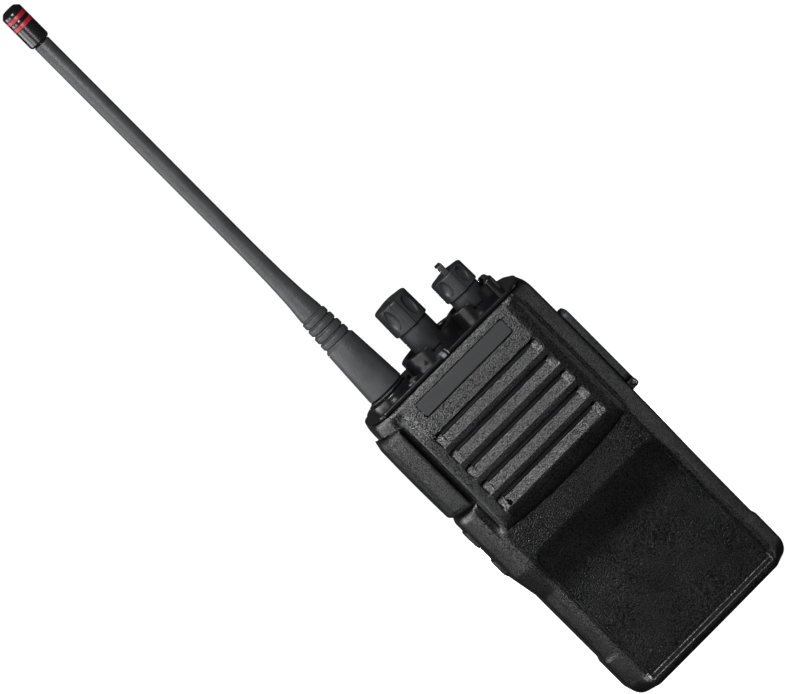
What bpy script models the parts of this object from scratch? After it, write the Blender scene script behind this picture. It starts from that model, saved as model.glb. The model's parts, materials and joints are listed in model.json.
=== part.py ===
"""A hand-held two way radio with its antenna, controls, battery pack and belt clip.

Lengths are in millimetres, and heights are counted from the underside of the housing. Each mesh is moved by
ORIGIN_SHIFT and scaled to metres when its object is made. The origin is then on the surface that the radio
stands on, under the middle of the object. The front faces -Y.
"""

import math

import bmesh
import bpy
from mathutils import Matrix, Vector

MM = 0.001
ORIGIN_SHIFT = (0.0, -4.0, 1.0)
GAP = 0.3

# Housing: the front shell of the radio.
HALF_WIDTH = 28.8
FRONT_Y = -16.4
FRONT_FLAT = 24.0
CHAMFER_DEPTH = 7.4
SEAM_Y = 4.8
HEAD_BACK_Y = 9.0
HEAD_Z = 91.0
HOUSING_TOP = 104.0
WALL = 2.0
FOOT_X = 20.8
FOOT_HEIGHT = 1.0
FOOT_HALF = 1.25

# Speaker panel: its outline from the side, as depth and height, from the lower slope to the top edge.
PANEL_SIDE = ((-16.45, 57.9), (-18.0, 62.9), (-18.2, 80.0), (-17.9, 92.0), (-16.9, 104.0))
PANEL_HALF = 21.8
PANEL_FOOT_HALF = 22.9
GRILLE_ROWS = 5
GRILLE_TOP = 91.3
GRILLE_PITCH = 5.98
GRILLE_HALF = 19.2
SLIT_HALF = 17.1
SLIT_HEIGHT = 1.4
BADGE_HALF = 16.7
BADGE_LOW = 96.1
BADGE_HIGH = 101.1
MIC_X = -16.9
MIC_Z = 63.9

# Scoop: the wide hollow in the lower front.
SCOOP_HALF = 22.4
SCOOP_FLOOR = -14.4
SCOOP_LOW = 3.8
SCOOP_FLAT_TOP = 36.3
SCOOP_TOP = 49.2

# Controls on the top, each on its own upright axis.
TOP_LOW = 104.3
TOP_HIGH = 105.4
ANTENNA_AXIS = (-18.2, 0.0)
VOLUME_AXIS = (-0.85, 0.0)
CHANNEL_AXIS = (15.4, 0.0)
LED_AXIS = (-11.8, -12.0)
SHAFT_R = 2.2
BUSH_R = 3.6
KNOB_FOOT = 106.5

# Side controls.
PTT_LOW = 70.3
PTT_HIGH = 99.2
PTT_MIDDLE = (-4.0, 85.0)
KEY_SPANS = {"upper": (58.7, 65.3), "lower": (48.1, 54.2)}
KEY_OUT = -31.1
KEY_IN = -27.2
KEY_Y = (-7.0, 1.0)
JACK_Y = (-6.3, 0.3)
JACK_Z = (66.0, 86.0)
COVER_AXIS = (30.6, 61.6)
COVER_Y = (-8.4, 1.8)
COVER_TOP = 89.2

# Speaker and boards.
SPEAKER_Z = 77.0
SPEAKER_R = 17.5
BOARD_Y = (-2.6, -1.0)

# Chassis and battery pack.
CHASSIS_Y = (3.3, 4.8)
CHASSIS_SHELF = (88.5, 90.7)
BACK_Y = 18.0
REAR_CORNER = 6.0
SCREW_X = 21.5
LOWER_SCREW_Z = 5.8
UPPER_SCREW_Z = 97.5
PACK_Y = 5.1
LID_Y = (5.1, 7.0)
PACK_HALF = 28.2
PACK_Z = (0.3, 88.2)
PACK_WALL = 1.8
TERMINALS = (-5.0, 0.0, 5.0)
TERMINAL_Z = 13.0
LATCH_TONGUE = 5.0

# Belt clip.
CLIP_PIN = (22.0, 75.0)
CLIP_HALF = 8.0
CLIP_EAR = 1.6

# Colour, roughness and metallic value of each finish.
LOOKS = {
    "housing_black": ((0.018, 0.018, 0.020), 0.62, 0.0),
    "trim_black": ((0.014, 0.014, 0.016), 0.35, 0.0),
    "knob_grey": ((0.030, 0.031, 0.034), 0.55, 0.0),
    "antenna_rubber": ((0.032, 0.033, 0.036), 0.60, 0.0),
    "tip_red": ((0.42, 0.02, 0.03), 0.40, 0.0),
    "key_rubber": ((0.022, 0.022, 0.024), 0.70, 0.0),
    "badge_grey": ((0.045, 0.046, 0.050), 0.45, 0.0),
    "die_cast": ((0.040, 0.041, 0.044), 0.50, 0.6),
    "steel": ((0.55, 0.55, 0.56), 0.30, 1.0),
    "gold": ((0.80, 0.60, 0.25), 0.30, 1.0),
    "board_green": ((0.02, 0.12, 0.05), 0.50, 0.0),
    "felt": ((0.010, 0.010, 0.010), 0.95, 0.0),
    "part_plastic": ((0.05, 0.05, 0.055), 0.50, 0.0),
    "lens": ((0.35, 0.32, 0.28), 0.12, 0.0),
    "cell_wrap": ((0.05, 0.12, 0.30), 0.40, 0.0),
}


# ---------------------------------------------------------------- objects and materials


def clear_scene():
    for old in list(bpy.data.objects):
        bpy.data.objects.remove(old, do_unlink=True)


def make_materials():
    made = {}
    for name, (colour, roughness, metallic) in LOOKS.items():
        material = bpy.data.materials.new(name)
        material.use_nodes = True
        shader = material.node_tree.nodes["Principled BSDF"]
        shader.inputs["Base Color"].default_value = (*colour, 1.0)
        shader.inputs["Roughness"].default_value = roughness
        shader.inputs["Metallic"].default_value = metallic
        material.diffuse_color = (*colour, 1.0)
        made[name] = material
    return made


clear_scene()
MATERIALS = make_materials()
SHIFT = Vector(ORIGIN_SHIFT)


def pivot(name, place):
    """An empty on a joint's axis, which carries the pieces that move with it."""
    empty = bpy.data.objects.new(f"{name}_pivot", None)
    empty.location = (Vector(place) + SHIFT) * MM
    empty.empty_display_size = 0.01
    bpy.context.collection.objects.link(empty)
    return empty


def carried(obj, carrier):
    """Hangs an object on its pivot, keeping its place."""
    if carrier is not None:
        obj.parent = carrier
        obj.data.transform(Matrix.Translation(-carrier.location))
    return obj


def solid(name, bm, look, carrier=None, bevel=0.0):
    """Makes the object of a closed mesh that is in millimetres."""
    bmesh.ops.recalc_face_normals(bm, faces=bm.faces)
    mesh = bpy.data.meshes.new(name)
    bm.to_mesh(mesh)
    bm.free()
    mesh.transform(Matrix.Scale(MM, 4) @ Matrix.Translation(SHIFT))
    mesh.shade_smooth()
    mesh.set_sharp_from_angle(angle=math.radians(32.0))
    obj = bpy.data.objects.new(name, mesh)
    obj.data.materials.append(MATERIALS[look])
    bpy.context.collection.objects.link(obj)
    if bevel:
        edge = obj.modifiers.new("edge", "BEVEL")
        edge.width = bevel * MM
        edge.segments = 1
        edge.limit_method = "ANGLE"
    return carried(obj, carrier)


def combine(target, tool, operation):
    tool.hide_render = True
    tool.display_type = "WIRE"
    modifier = target.modifiers.new(tool.name, "BOOLEAN")
    modifier.operation = operation
    modifier.solver = "EXACT"
    modifier.object = tool


def cut(target, *tools):
    for tool in tools:
        combine(target, tool, "DIFFERENCE")


def add(target, *tools):
    for tool in tools:
        combine(target, tool, "UNION")


# ---------------------------------------------------------------- shapes


def loft(name, rings, look, carrier=None, bevel=0.0):
    """A skin over rings of points, closed at both ends."""
    bm = bmesh.new()
    rows = [[bm.verts.new(point) for point in ring] for ring in rings]
    for lower, upper in zip(rows, rows[1:]):
        for here in range(len(lower)):
            after = (here + 1) % len(lower)
            bm.faces.new((lower[here], lower[after], upper[after], upper[here]))
    bm.faces.new(rows[0])
    bm.faces.new(rows[-1])
    return solid(name, bm, look, carrier, bevel)


def spread(outline, axis, level):
    """Puts an outline's two coordinates in the plane square to an axis."""
    if axis == "X":
        return [(level, u, v) for u, v in outline]
    if axis == "Y":
        return [(u, level, v) for u, v in outline]
    return [(u, v, level) for u, v in outline]


def prism(name, outline, axis, span, look, carrier=None, bevel=0.0):
    return loft(name, [spread(outline, axis, level) for level in span], look, carrier, bevel)


def box(name, x, y, z, look, carrier=None, bevel=0.0):
    outline = [(x[0], y[0]), (x[1], y[0]), (x[1], y[1]), (x[0], y[1])]
    return prism(name, outline, "Z", z, look, carrier, bevel)


def round_corner(centre, radius, start, steps=3):
    """The points of a quarter turn, counter-clockwise from an angle in degrees."""
    turns = [math.radians(start + 90.0 * step / steps) for step in range(steps + 1)]
    return [(centre[0] + radius * math.cos(turn), centre[1] + radius * math.sin(turn)) for turn in turns]


def soft_rectangle(low, high, radius, steps=3):
    (left, bottom), (right, top) = low, high
    return (
        round_corner((right - radius, bottom + radius), radius, -90.0, steps)
        + round_corner((right - radius, top - radius), radius, 0.0, steps)
        + round_corner((left + radius, top - radius), radius, 90.0, steps)
        + round_corner((left + radius, bottom + radius), radius, 180.0, steps)
    )


def around(axis, centre, radius, angle, level):
    """A point at a radius, an angle and a level along an axis through a centre."""
    u = centre[0] + radius * math.cos(angle)
    v = centre[1] + radius * math.sin(angle)
    return spread([(u, v)], axis, level)[0]


def turned(name, profile, centre, look, axis="Z", segments=24, carrier=None, tube=False):
    """A turned piece, from radii and levels. A tube's profile runs round its wall and back to its start."""
    bm = bmesh.new()
    rings = []
    for radius, level in profile:
        count = segments if radius else 1
        turns = [math.tau * step / segments for step in range(count)]
        rings.append([bm.verts.new(around(axis, centre, radius, turn, level)) for turn in turns])
    pairs = list(zip(rings, rings[1:]))
    if tube:
        pairs.append((rings[-1], rings[0]))
    for lower, upper in pairs:
        for here in range(segments):
            after = (here + 1) % segments
            corners = (
                lower[here % len(lower)],
                lower[after % len(lower)],
                upper[after % len(upper)],
                upper[here % len(upper)],
            )
            bm.faces.new(list(dict.fromkeys(corners)))
    return solid(name, bm, look, carrier)


def rod(name, radius, span, centre, look, axis="Z", segments=16, carrier=None):
    profile = ((0.0, span[0]), (radius, span[0]), (radius, span[1]), (0.0, span[1]))
    return turned(name, profile, centre, look, axis, segments, carrier)


def collar(name, inner, outer, span, centre, look, axis="Z", segments=24, carrier=None):
    profile = ((inner, span[0]), (outer, span[0]), (outer, span[1]), (inner, span[1]))
    return turned(name, profile, centre, look, axis, segments, carrier, tube=True)


def spring(name, centre, axis, radius, wire, turns, span, look, carrier):
    """A coil spring as a round wire along a helix."""
    per_turn = 12
    count = turns * per_turn
    curve = bpy.data.curves.new(name, "CURVE")
    curve.dimensions = "3D"
    curve.bevel_depth = wire * MM
    curve.bevel_resolution = 1
    curve.use_fill_caps = True
    line = curve.splines.new("POLY")
    line.points.add(count)
    for step in range(count + 1):
        level = span[0] + (span[1] - span[0]) * step / count
        point = Vector(around(axis, centre, radius, math.tau * step / per_turn, level))
        line.points[step].co = (*((point + SHIFT) * MM), 1.0)
    obj = bpy.data.objects.new(name, curve)
    obj.data.materials.append(MATERIALS[look])
    bpy.context.collection.objects.link(obj)
    return carried(obj, carrier)


def tool_box(name, x, y, z):
    return box(f"{name}_tool", x, y, z, "felt")


def tool_rod(name, radius, span, centre, axis="Z", segments=16):
    return rod(f"{name}_tool", radius, span, centre, "felt", axis, segments)


# ---------------------------------------------------------------- housing


def shell_ring(height, half_width, front, back, flat=FRONT_FLAT):
    """One level of the housing: flat front, broad chamfers, straight sides."""
    side = front + CHAMFER_DEPTH
    half = [
        (flat, front),
        (flat + 0.8, front + 0.35),
        (half_width - 0.9, side - 2.0),
        (half_width, side),
        (half_width, back),
    ]
    whole = half + [(-x, y) for x, y in reversed(half)]
    return spread(whole, "Z", height)


def panel_front(height):
    """Depth of the speaker panel's face at a height."""
    for (near, low), (far, high) in zip(PANEL_SIDE, PANEL_SIDE[1:]):
        if height <= high:
            return near + (far - near) * (height - low) / (high - low)
    return PANEL_SIDE[-1][0]


def speaker_panel():
    """The raised field of the front, sloped down to the housing all round."""
    root_y = FRONT_Y + 0.9
    ends = [(root_y, PANEL_SIDE[0][1]), (root_y, PANEL_SIDE[-1][1])]
    raised = [ends[0], *PANEL_SIDE, ends[1]]
    level = [ends[0], *((PANEL_SIDE[0][0], z) for _, z in PANEL_SIDE), ends[1]]
    rings = [
        spread(level, "X", -PANEL_FOOT_HALF),
        spread(raised, "X", -PANEL_HALF),
        spread(raised, "X", PANEL_HALF),
        spread(level, "X", PANEL_FOOT_HALF),
    ]
    return loft("speaker_panel_tool", rings, "felt")


def key_lobe():
    """The swelling of the left side that holds the two small keys."""
    root = [(-24.2, -15.2), (-25.5, -11.0), (-27.0, 2.6)]
    flush = [*root, (-28.5, 2.2), (-28.5, -8.6), (-27.5, -11.2), (-24.7, -15.8)]
    proud = [*root, (-30.2, 2.2), (-30.2, -7.5), (-28.9, -11.2), (-25.6, -16.0)]
    rings = []
    for height, amount in ((38.0, 0.0), (47.5, 1.0), (68.0, 1.0), (PTT_LOW - 0.7, 0.6)):
        ring = [(a + (c - a) * amount, b + (d - b) * amount) for (a, b), (c, d) in zip(flush, proud)]
        rings.append(spread(ring, "Z", height))
    return loft("key_lobe_tool", rings, "felt")


def cut_grille(housing):
    face = -20.0
    for row in range(GRILLE_ROWS):
        top = GRILLE_TOP - row * GRILLE_PITCH
        shelf = top - SLIT_HEIGHT
        outline = [(-16.2, top), (-16.2, shelf), (-18.6, top - 5.0), (face, top - 5.0), (face, top)]
        cut(housing, prism(f"louvre_{row}_tool", outline, "X", (-GRILLE_HALF, GRILLE_HALF), "felt"))
        slit = tool_box(f"slit_{row}", (-SLIT_HALF, SLIT_HALF), (-17.0, -13.0), (shelf + 0.05, top - 0.05))
        cut(housing, slit)


def badge_outline(depth_out, depth_in, margin):
    """The badge's place from the side, between two depths under the panel's face."""
    low = BADGE_LOW + margin
    high = BADGE_HIGH - margin
    return [
        (panel_front(low) + depth_out, low),
        (panel_front(low) + depth_in, low),
        (panel_front(high) + depth_in, high),
        (panel_front(high) + depth_out, high),
    ]


def front_housing():
    outer = [
        shell_ring(0.0, 25.4, FRONT_Y + 1.0, SEAM_Y, 22.4),
        shell_ring(4.6, 29.0, FRONT_Y, SEAM_Y),
        shell_ring(12.5, 29.1, FRONT_Y, SEAM_Y),
        shell_ring(14.0, 28.6, FRONT_Y, SEAM_Y),
        shell_ring(60.0, HALF_WIDTH, FRONT_Y, SEAM_Y),
        shell_ring(HEAD_Z, 29.0, FRONT_Y, SEAM_Y),
        shell_ring(HEAD_Z + GAP, 29.0, FRONT_Y, HEAD_BACK_Y),
        shell_ring(100.0, 28.9, FRONT_Y, HEAD_BACK_Y),
        shell_ring(HOUSING_TOP, 28.2, FRONT_Y + 0.4, HEAD_BACK_Y),
    ]
    housing = loft("front_housing", outer, "housing_black")
    add(housing, speaker_panel(), key_lobe())
    for side in (-1, 1):
        x = (side * FOOT_X - FOOT_HALF, side * FOOT_X + FOOT_HALF)
        add(housing, tool_box(f"foot_{side}", x, (-12.0, 1.6), (-FOOT_HEIGHT, 1.0)))
    for index, near in enumerate((COVER_Y[0], COVER_Y[1] - 1.6)):
        add(housing, tool_box(f"lug_{index}", (28.0, 31.6), (near, near + 1.6), (60.4, 62.6)))

    inner_flat = FRONT_FLAT - 1.6
    deep = FRONT_Y + WALL
    shallow = SCOOP_FLOOR + WALL
    half = HALF_WIDTH - WALL
    cavity = [
        shell_ring(2.2, half, shallow, SEAM_Y + 1.0, inner_flat),
        shell_ring(35.0, half, shallow, SEAM_Y + 1.0, inner_flat),
        shell_ring(50.0, half, deep, SEAM_Y + 1.0, inner_flat),
        shell_ring(90.8, half, deep - 0.5, SEAM_Y + 1.0, inner_flat),
        shell_ring(90.9, half, deep - 0.5, CHASSIS_Y[0] - 0.5, inner_flat),
        shell_ring(93.3, half, deep - 0.5, CHASSIS_Y[0] - 0.5, inner_flat),
        shell_ring(93.4, half, deep - 0.5, HEAD_BACK_Y - WALL, inner_flat),
        shell_ring(102.2, half, deep - 0.5, HEAD_BACK_Y - WALL, inner_flat),
    ]
    cut(housing, loft("cavity_tool", cavity, "felt"))

    for side in (-1, 1):
        lower = (side * SCREW_X, LOWER_SCREW_Z)
        upper = (side * SCREW_X, UPPER_SCREW_Z)
        add(housing, tool_rod(f"boss_{side}", 2.6, (-13.0, 1.3), lower, "Y"))
        cut(housing, tool_rod(f"boss_bore_{side}", 1.4, (-9.0, 3.0), lower, "Y", 12))
        cut(housing, tool_rod(f"head_bore_{side}", 1.4, (5.0, 10.0), upper, "Y", 12))
    tongue_room = LATCH_TONGUE + 0.4
    cut(housing, tool_box("latch_catch", (-tongue_room, tongue_room), (3.4, 6.0), (0.6, 3.0)))

    scoop = [
        (SCOOP_FLOOR, SCOOP_LOW),
        (SCOOP_FLOOR, SCOOP_FLAT_TOP),
        (SCOOP_FLOOR - 2.62, SCOOP_TOP + 4.0),
        (-20.0, SCOOP_TOP + 4.0),
        (-20.0, SCOOP_LOW - 1.5),
        (-16.9, SCOOP_LOW - 1.5),
    ]
    cut(housing, prism("scoop_tool", scoop, "X", (-SCOOP_HALF, SCOOP_HALF), "felt"))
    cut_grille(housing)
    cut(housing, prism("badge_tool", badge_outline(-2.0, 0.6, 0.0), "X", (-BADGE_HALF, BADGE_HALF), "felt"))
    cut(housing, tool_rod("mic_hole", 0.5, (-19.0, -12.0), (MIC_X, MIC_Z), "Y", 8))

    floor = [(-27.7, 2.0), (-27.7, -8.6), (-26.5, -11.2), (-24.1, -14.6), (-24.5, -18.0)]
    pocket = [*floor, (-34.0, -18.0), (-34.0, 2.0)]
    cut(housing, prism("ptt_pocket_tool", pocket, "Z", (PTT_LOW - 0.4, PTT_HIGH + 0.4), "felt"))
    cut(housing, tool_rod("ptt_hole", 2.0, (-30.0, -24.5), PTT_MIDDLE, "X"))
    for name, (low, high) in KEY_SPANS.items():
        hole = soft_rectangle((KEY_Y[0] - GAP, low - GAP), (KEY_Y[1] + GAP, high + GAP), 1.5)
        cut(housing, prism(f"key_hole_{name}_tool", hole, "X", (-32.0, -25.0), "felt"))
    cut(housing, tool_box("jack_window", (26.0, 31.0), (JACK_Y[0] - GAP, JACK_Y[1] + GAP), (65.7, 86.3)))
    cut(housing, tool_rod("cover_pin_bore", 0.8, (-9.0, 2.4), (COVER_AXIS[0], COVER_AXIS[1]), "Y", 12))

    cut(housing, tool_rod("antenna_hole", 4.7, (100.0, 106.0), ANTENNA_AXIS))
    cut(housing, tool_rod("volume_hole", BUSH_R + GAP, (100.0, 106.0), VOLUME_AXIS))
    cut(housing, tool_rod("channel_hole", BUSH_R + GAP, (100.0, 106.0), CHANNEL_AXIS))
    cut(housing, tool_rod("led_hole", 1.4, (100.0, 106.0), LED_AXIS, "Z", 12))
    return housing


def badge_plate():
    outline = badge_outline(0.0, 0.3, GAP)
    prism("badge_plate", outline, "X", (GAP - BADGE_HALF, BADGE_HALF - GAP), "badge_grey")


def top_panel():
    """The trim over the top, with the walls that guard the controls."""
    outline = (
        round_corner((28.2 - REAR_CORNER, BACK_Y - 0.4 - REAR_CORNER), REAR_CORNER, 0.0, 4)
        + round_corner((REAR_CORNER - 28.2, BACK_Y - 0.4 - REAR_CORNER), REAR_CORNER, 90.0, 4)
        + [(-28.0, -8.6), (-27.0, -11.2), (-24.6, -15.4), (-23.6, -15.8)]
        + [(23.6, -15.8), (24.6, -15.4), (27.0, -11.2), (28.0, -8.6)]
    )
    panel = prism("top_panel", outline, "Z", (TOP_LOW, TOP_HIGH), "trim_black")
    root = TOP_LOW + 0.4
    add(panel, tool_rod("antenna_seat", 7.2, (root, 106.4), ANTENNA_AXIS, segments=24))
    add(panel, tool_rod("volume_guard", 9.6, (root, 109.2), VOLUME_AXIS, segments=32))
    add(panel, tool_rod("channel_guard", 8.4, (root, 109.4), CHANNEL_AXIS, segments=32))
    wall = soft_rectangle((20.6, -7.0), (24.6, 7.0), 1.2)
    add(panel, prism("end_guard_tool", wall, "Z", (root, 110.8), "felt"))
    cut(panel, tool_rod("antenna_bore", 4.7, (103.0, 108.0), ANTENNA_AXIS, segments=24))
    cut(panel, tool_rod("volume_bore", 7.6, (103.0, 112.0), VOLUME_AXIS, segments=32))
    cut(panel, tool_rod("channel_bore", 6.9, (103.0, 112.0), CHANNEL_AXIS, segments=32))
    for name, (x, _) in (("volume", VOLUME_AXIS), ("channel", CHANNEL_AXIS)):
        notch = [(x - 2.2, 112.0), (x - 1.4, 106.0), (x + 1.4, 106.0), (x + 2.2, 112.0)]
        cut(panel, prism(f"{name}_notch_tool", notch, "Y", (-12.0, -4.0), "felt"))
    cut(panel, tool_rod("led_bore", 1.4, (103.0, 107.0), LED_AXIS, "Z", 12))


def led_lens():
    profile = ((0.0, 101.0), (1.1, 101.0), (1.1, 105.7), (0.8, 106.1), (0.0, 106.3))
    turned("led_lens", profile, LED_AXIS, "lens", segments=12)


# ---------------------------------------------------------------- controls


def control(name, axis, body_half, body_low):
    """A rotary part under the top wall: its case with a bush, its nut and its shaft's pivot."""
    x, y = axis
    case = box(name, (x - body_half, x + body_half), (y - 4.6, y + 4.6), (body_low, 101.9), "part_plastic")
    add(case, rod(f"{name}_bush_tool", BUSH_R, (101.0, 106.1), axis, "felt"))
    cut(case, tool_rod(f"{name}_bore", SHAFT_R + GAP, (body_low + 1.5, 107.0), axis))


def nut(name, axis):
    x, y = axis
    radius = 5.4
    sides = 6
    outline = [
        (x + radius * math.cos(math.tau * side / sides), y + radius * math.sin(math.tau * side / sides))
        for side in range(sides)
    ]
    piece = prism(name, outline, "Z", (104.3, 105.9), "steel")
    cut(piece, tool_rod(f"{name}_bore", BUSH_R + GAP, (104.0, 106.2), axis))


def knob(name, axis, head_low, head_high, head_r, neck_r, grips, carrier):
    """A knob with a narrow neck, finger hollows round its head and a raised pointer."""
    segments = 8 * grips
    head_mid = (head_low + head_high) / 2.0
    levels = (
        (neck_r - 0.2, KNOB_FOOT, 0.0),
        (neck_r, KNOB_FOOT + 0.4, 0.0),
        (neck_r - 0.1, head_low - 0.8, 0.0),
        (head_r + 0.1, head_low, 0.0),
        (head_r, head_mid - 1.6, 0.25),
        (head_r - 0.05, head_mid + 1.2, 0.55),
        (head_r - 0.1, head_high - 0.7, 0.35),
        (head_r - 0.8, head_high, 0.0),
    )
    rings = []
    for radius, level, hollow in levels:
        ring = []
        for step in range(segments):
            turn = math.tau * step / segments
            dip = hollow * max(0.0, math.cos(grips * turn)) ** 2
            ring.append(around("Z", axis, radius - dip, turn, level))
        rings.append(ring)
    piece = loft(name, rings, "knob_grey", carrier)
    x, y = axis
    depth = (y - head_r - 0.35, y - neck_r + 1.2)
    add(piece, tool_box(f"{name}_pointer", (x - 1.0, x + 1.0), depth, (head_low - 0.5, head_high)))
    cut(piece, tool_rod(f"{name}_bore", SHAFT_R + GAP, (105.0, head_high - 2.0), axis))
    return piece


def controls():
    volume = pivot("volume", (*VOLUME_AXIS, TOP_HIGH))
    control("volume_potentiometer", VOLUME_AXIS, 5.5, 95.5)
    nut("volume_nut", VOLUME_AXIS)
    rod("volume_shaft", SHAFT_R, (98.0, 121.5), VOLUME_AXIS, "steel", carrier=volume)
    knob("volume_knob", VOLUME_AXIS, 115.0, 124.0, 5.65, 5.0, 6, volume)

    channel = pivot("channel", (*CHANNEL_AXIS, TOP_HIGH))
    control("channel_switch", CHANNEL_AXIS, 5.9, 94.0)
    nut("channel_nut", CHANNEL_AXIS)
    rod("channel_shaft", SHAFT_R, (97.0, 116.2), CHANNEL_AXIS, "steel", carrier=channel)
    piece = knob("channel_knob", CHANNEL_AXIS, 111.7, 118.6, 5.45, 4.9, 6, channel)
    x, y = CHANNEL_AXIS
    add(piece, box("channel_fin_tool", (x - 0.9, x + 0.9), (y - 4.6, y + 1.2), (117.6, 121.7), "felt"))


def antenna():
    """The whip, which unscrews from its socket, with the sealing ring under it."""
    body = pivot("antenna", (*ANTENNA_AXIS, TOP_HIGH))
    lift = pivot("antenna_lift", (*ANTENNA_AXIS, TOP_HIGH))
    socket = ((4.3, 98.0), (4.3, 106.0), (3.1, 106.0), (3.1, 98.0))
    turned("antenna_connector", socket, ANTENNA_AXIS, "gold", segments=20, tube=True)
    collar("antenna_seal", 3.1, 5.6, (106.7, 107.3), ANTENNA_AXIS, "key_rubber", segments=20, carrier=lift)
    rod("antenna_ferrule", 2.8, (99.0, 117.0), ANTENNA_AXIS, "gold", carrier=body)
    rod("antenna_core", 0.7, (117.3, 247.0), ANTENNA_AXIS, "steel", segments=8, carrier=body)

    sleeve = [(3.1, 107.6), (5.75, 107.6), (4.75, 125.8)]
    for middle, radius in ((127.5, 4.45), (129.9, 4.3), (132.5, 4.2), (134.9, 4.0)):
        groove = radius - 0.5
        sleeve += [(groove, middle - 1.05), (radius, middle - 0.7)]
        sleeve += [(radius, middle + 0.7), (groove, middle + 1.05)]
    sleeve += [(3.6, 136.9), (3.0, 143.0), (2.65, 151.0), (2.5, 160.0), (2.5, 241.0)]
    sleeve += [(1.0, 241.0), (1.0, 117.6), (3.1, 117.3)]
    turned("antenna_sleeve", sleeve, ANTENNA_AXIS, "antenna_rubber", segments=20, carrier=body, tube=True)

    cap_r = 3.25
    bands = {"tip_band_lower": 248.25, "tip_band_upper": 250.75}
    cap = [(0.0, 247.3), (1.0, 247.3), (1.0, 241.3), (cap_r - 0.7, 241.3), (cap_r, 242.0)]
    for middle in bands.values():
        low, high = middle - 0.95, middle + 0.95
        cap += [(cap_r, low), (cap_r - 0.65, low), (cap_r - 0.65, high), (cap_r, high)]
    cap += [(cap_r, 253.2), (cap_r - 0.9, 254.1), (0.0, 254.1)]
    turned("antenna_cap", cap, ANTENNA_AXIS, "trim_black", segments=20, carrier=body)
    for name, middle in bands.items():
        span = (middle - 0.65, middle + 0.65)
        collar(name, cap_r - 0.35, cap_r + 0.05, span, ANTENNA_AXIS, "tip_red", segments=20, carrier=body)


def ptt_button():
    """The talk button: a swelling pad that wraps the front corner, with a plunger."""
    carrier = pivot("ptt", (-31.0, *PTT_MIDDLE))
    outer = [(-25.6, -15.6), (-28.9, -11.4), (-30.6, -8.0), (-31.2, -3.0), (-30.7, 1.6)]
    inner = [(-29.0, 1.6), (-29.0, -8.2), (-27.8, -11.0), (-25.5, -14.6)]
    swell = ((PTT_LOW, -0.9), (71.6, -0.2), (85.0, 0.3), (96.5, 0.1), (98.2, -0.3), (PTT_HIGH, -1.0))
    rings = []
    for height, out in swell:
        ring = [(x - out, y) for x, y in outer[1:]]
        rings.append(spread([outer[0], *ring, *inner], "Z", height))
    button = loft("ptt_button", rings, "key_rubber", carrier)
    add(button, rod("ptt_plunger_tool", 1.5, (-29.6, -25.6), PTT_MIDDLE, "felt", "X"))
    box("ptt_switch", (-24.3, -22.0), (-5.6, -2.9), (82.0, 88.0), "part_plastic")


def side_keys():
    for name, (low, high) in KEY_SPANS.items():
        carrier = pivot(f"side_key_{name}", (KEY_OUT, -3.0, (low + high) / 2.0))
        outline = soft_rectangle((KEY_Y[0], low), (KEY_Y[1], high), 1.5)
        prism(f"side_key_{name}", outline, "X", (KEY_OUT, KEY_IN), "key_rubber", carrier, bevel=0.5)
        middle = (low + high) / 2.0
        height = (middle - 1.6, middle + 1.6)
        box(f"side_switch_{name}", (-26.3, -24.6), (-4.6, -1.4), height, "part_plastic")


def jacks():
    """The accessory sockets in the right side, under a cover that swings down."""
    block = box("jack_block", (19.0, 28.6), JACK_Y, JACK_Z, "part_plastic")
    middle = (JACK_Y[0] + JACK_Y[1]) / 2.0
    for name, radius, height in (("wide", 1.8, 81.0), ("narrow", 1.3, 71.0)):
        cut(block, tool_rod(f"jack_{name}", radius, (21.0, 30.0), (middle, height), "X", 12))
    x, z = COVER_AXIS
    carrier = pivot("jack_cover", (x, middle, z))
    rod("jack_cover_pin", 0.5, (-8.2, 1.6), (x, z), "steel", "Y", 10)
    outline = soft_rectangle((COVER_Y[0], z + 1.4), (COVER_Y[1], COVER_TOP), 2.2)
    cover = prism("jack_cover", outline, "X", (29.4, 31.8), "key_rubber", carrier, bevel=0.7)
    knuckle = (COVER_Y[0] + 2.0, COVER_Y[1] - 2.0)
    neck = [(x - 1.0, z), (x + 1.0, z), (x + 1.0, z + 2.4), (x - 1.0, z + 2.4)]
    add(cover, prism("cover_neck_tool", neck, "Y", knuckle, "felt"))
    add(cover, rod("cover_knuckle_tool", 1.15, knuckle, (x, z), "felt", "Y"))
    cut(cover, tool_rod("cover_knuckle_bore", 0.8, (-10.0, 4.0), (x, z), "Y", 12))


# ---------------------------------------------------------------- inside the housing


def speaker():
    centre = (0.0, SPEAKER_Z)
    rod("speaker_felt", SPEAKER_R, (-14.5, -14.1), centre, "felt", "Y", 32)
    basket_out = ((SPEAKER_R, -13.8), (SPEAKER_R, -12.8), (12.0, -9.2), (3.0, -9.2))
    basket_in = ((3.0, -9.9), (11.6, -9.9), (16.0, -13.2), (16.0, -13.8))
    turned("speaker_basket", basket_out + basket_in, centre, "steel", "Y", 32, tube=True)
    cone_front = ((0.0, -12.9), (4.0, -12.6), (6.0, -11.2), (15.4, -13.7))
    cone_rear = ((15.4, -13.3), (6.0, -10.6), (0.0, -10.6))
    turned("speaker_cone", cone_front + cone_rear, centre, "felt", "Y", 32)
    rod("speaker_magnet", 8.0, (-8.9, -4.6), centre, "steel", "Y", 24)
    rod("microphone", 1.9, (-13.8, -11.6), (MIC_X, MIC_Z), "steel", "Y", 12)
    collar("mic_boot", 2.2, 2.8, (-14.0, -11.2), (MIC_X, MIC_Z), "key_rubber", "Y", 12)


def open_can(name, x, y, z, mouth):
    """A pressed shield, open towards the board."""
    can = box(name, x, y, z, "steel")
    skin = 0.4
    depth = (y[0] + skin, y[1] + 1.0) if mouth > 0 else (y[0] - 1.0, y[1] - skin)
    cut(can, tool_box(name, (x[0] + skin, x[1] - skin), depth, (z[0] + skin, z[1] - skin)))


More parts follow.
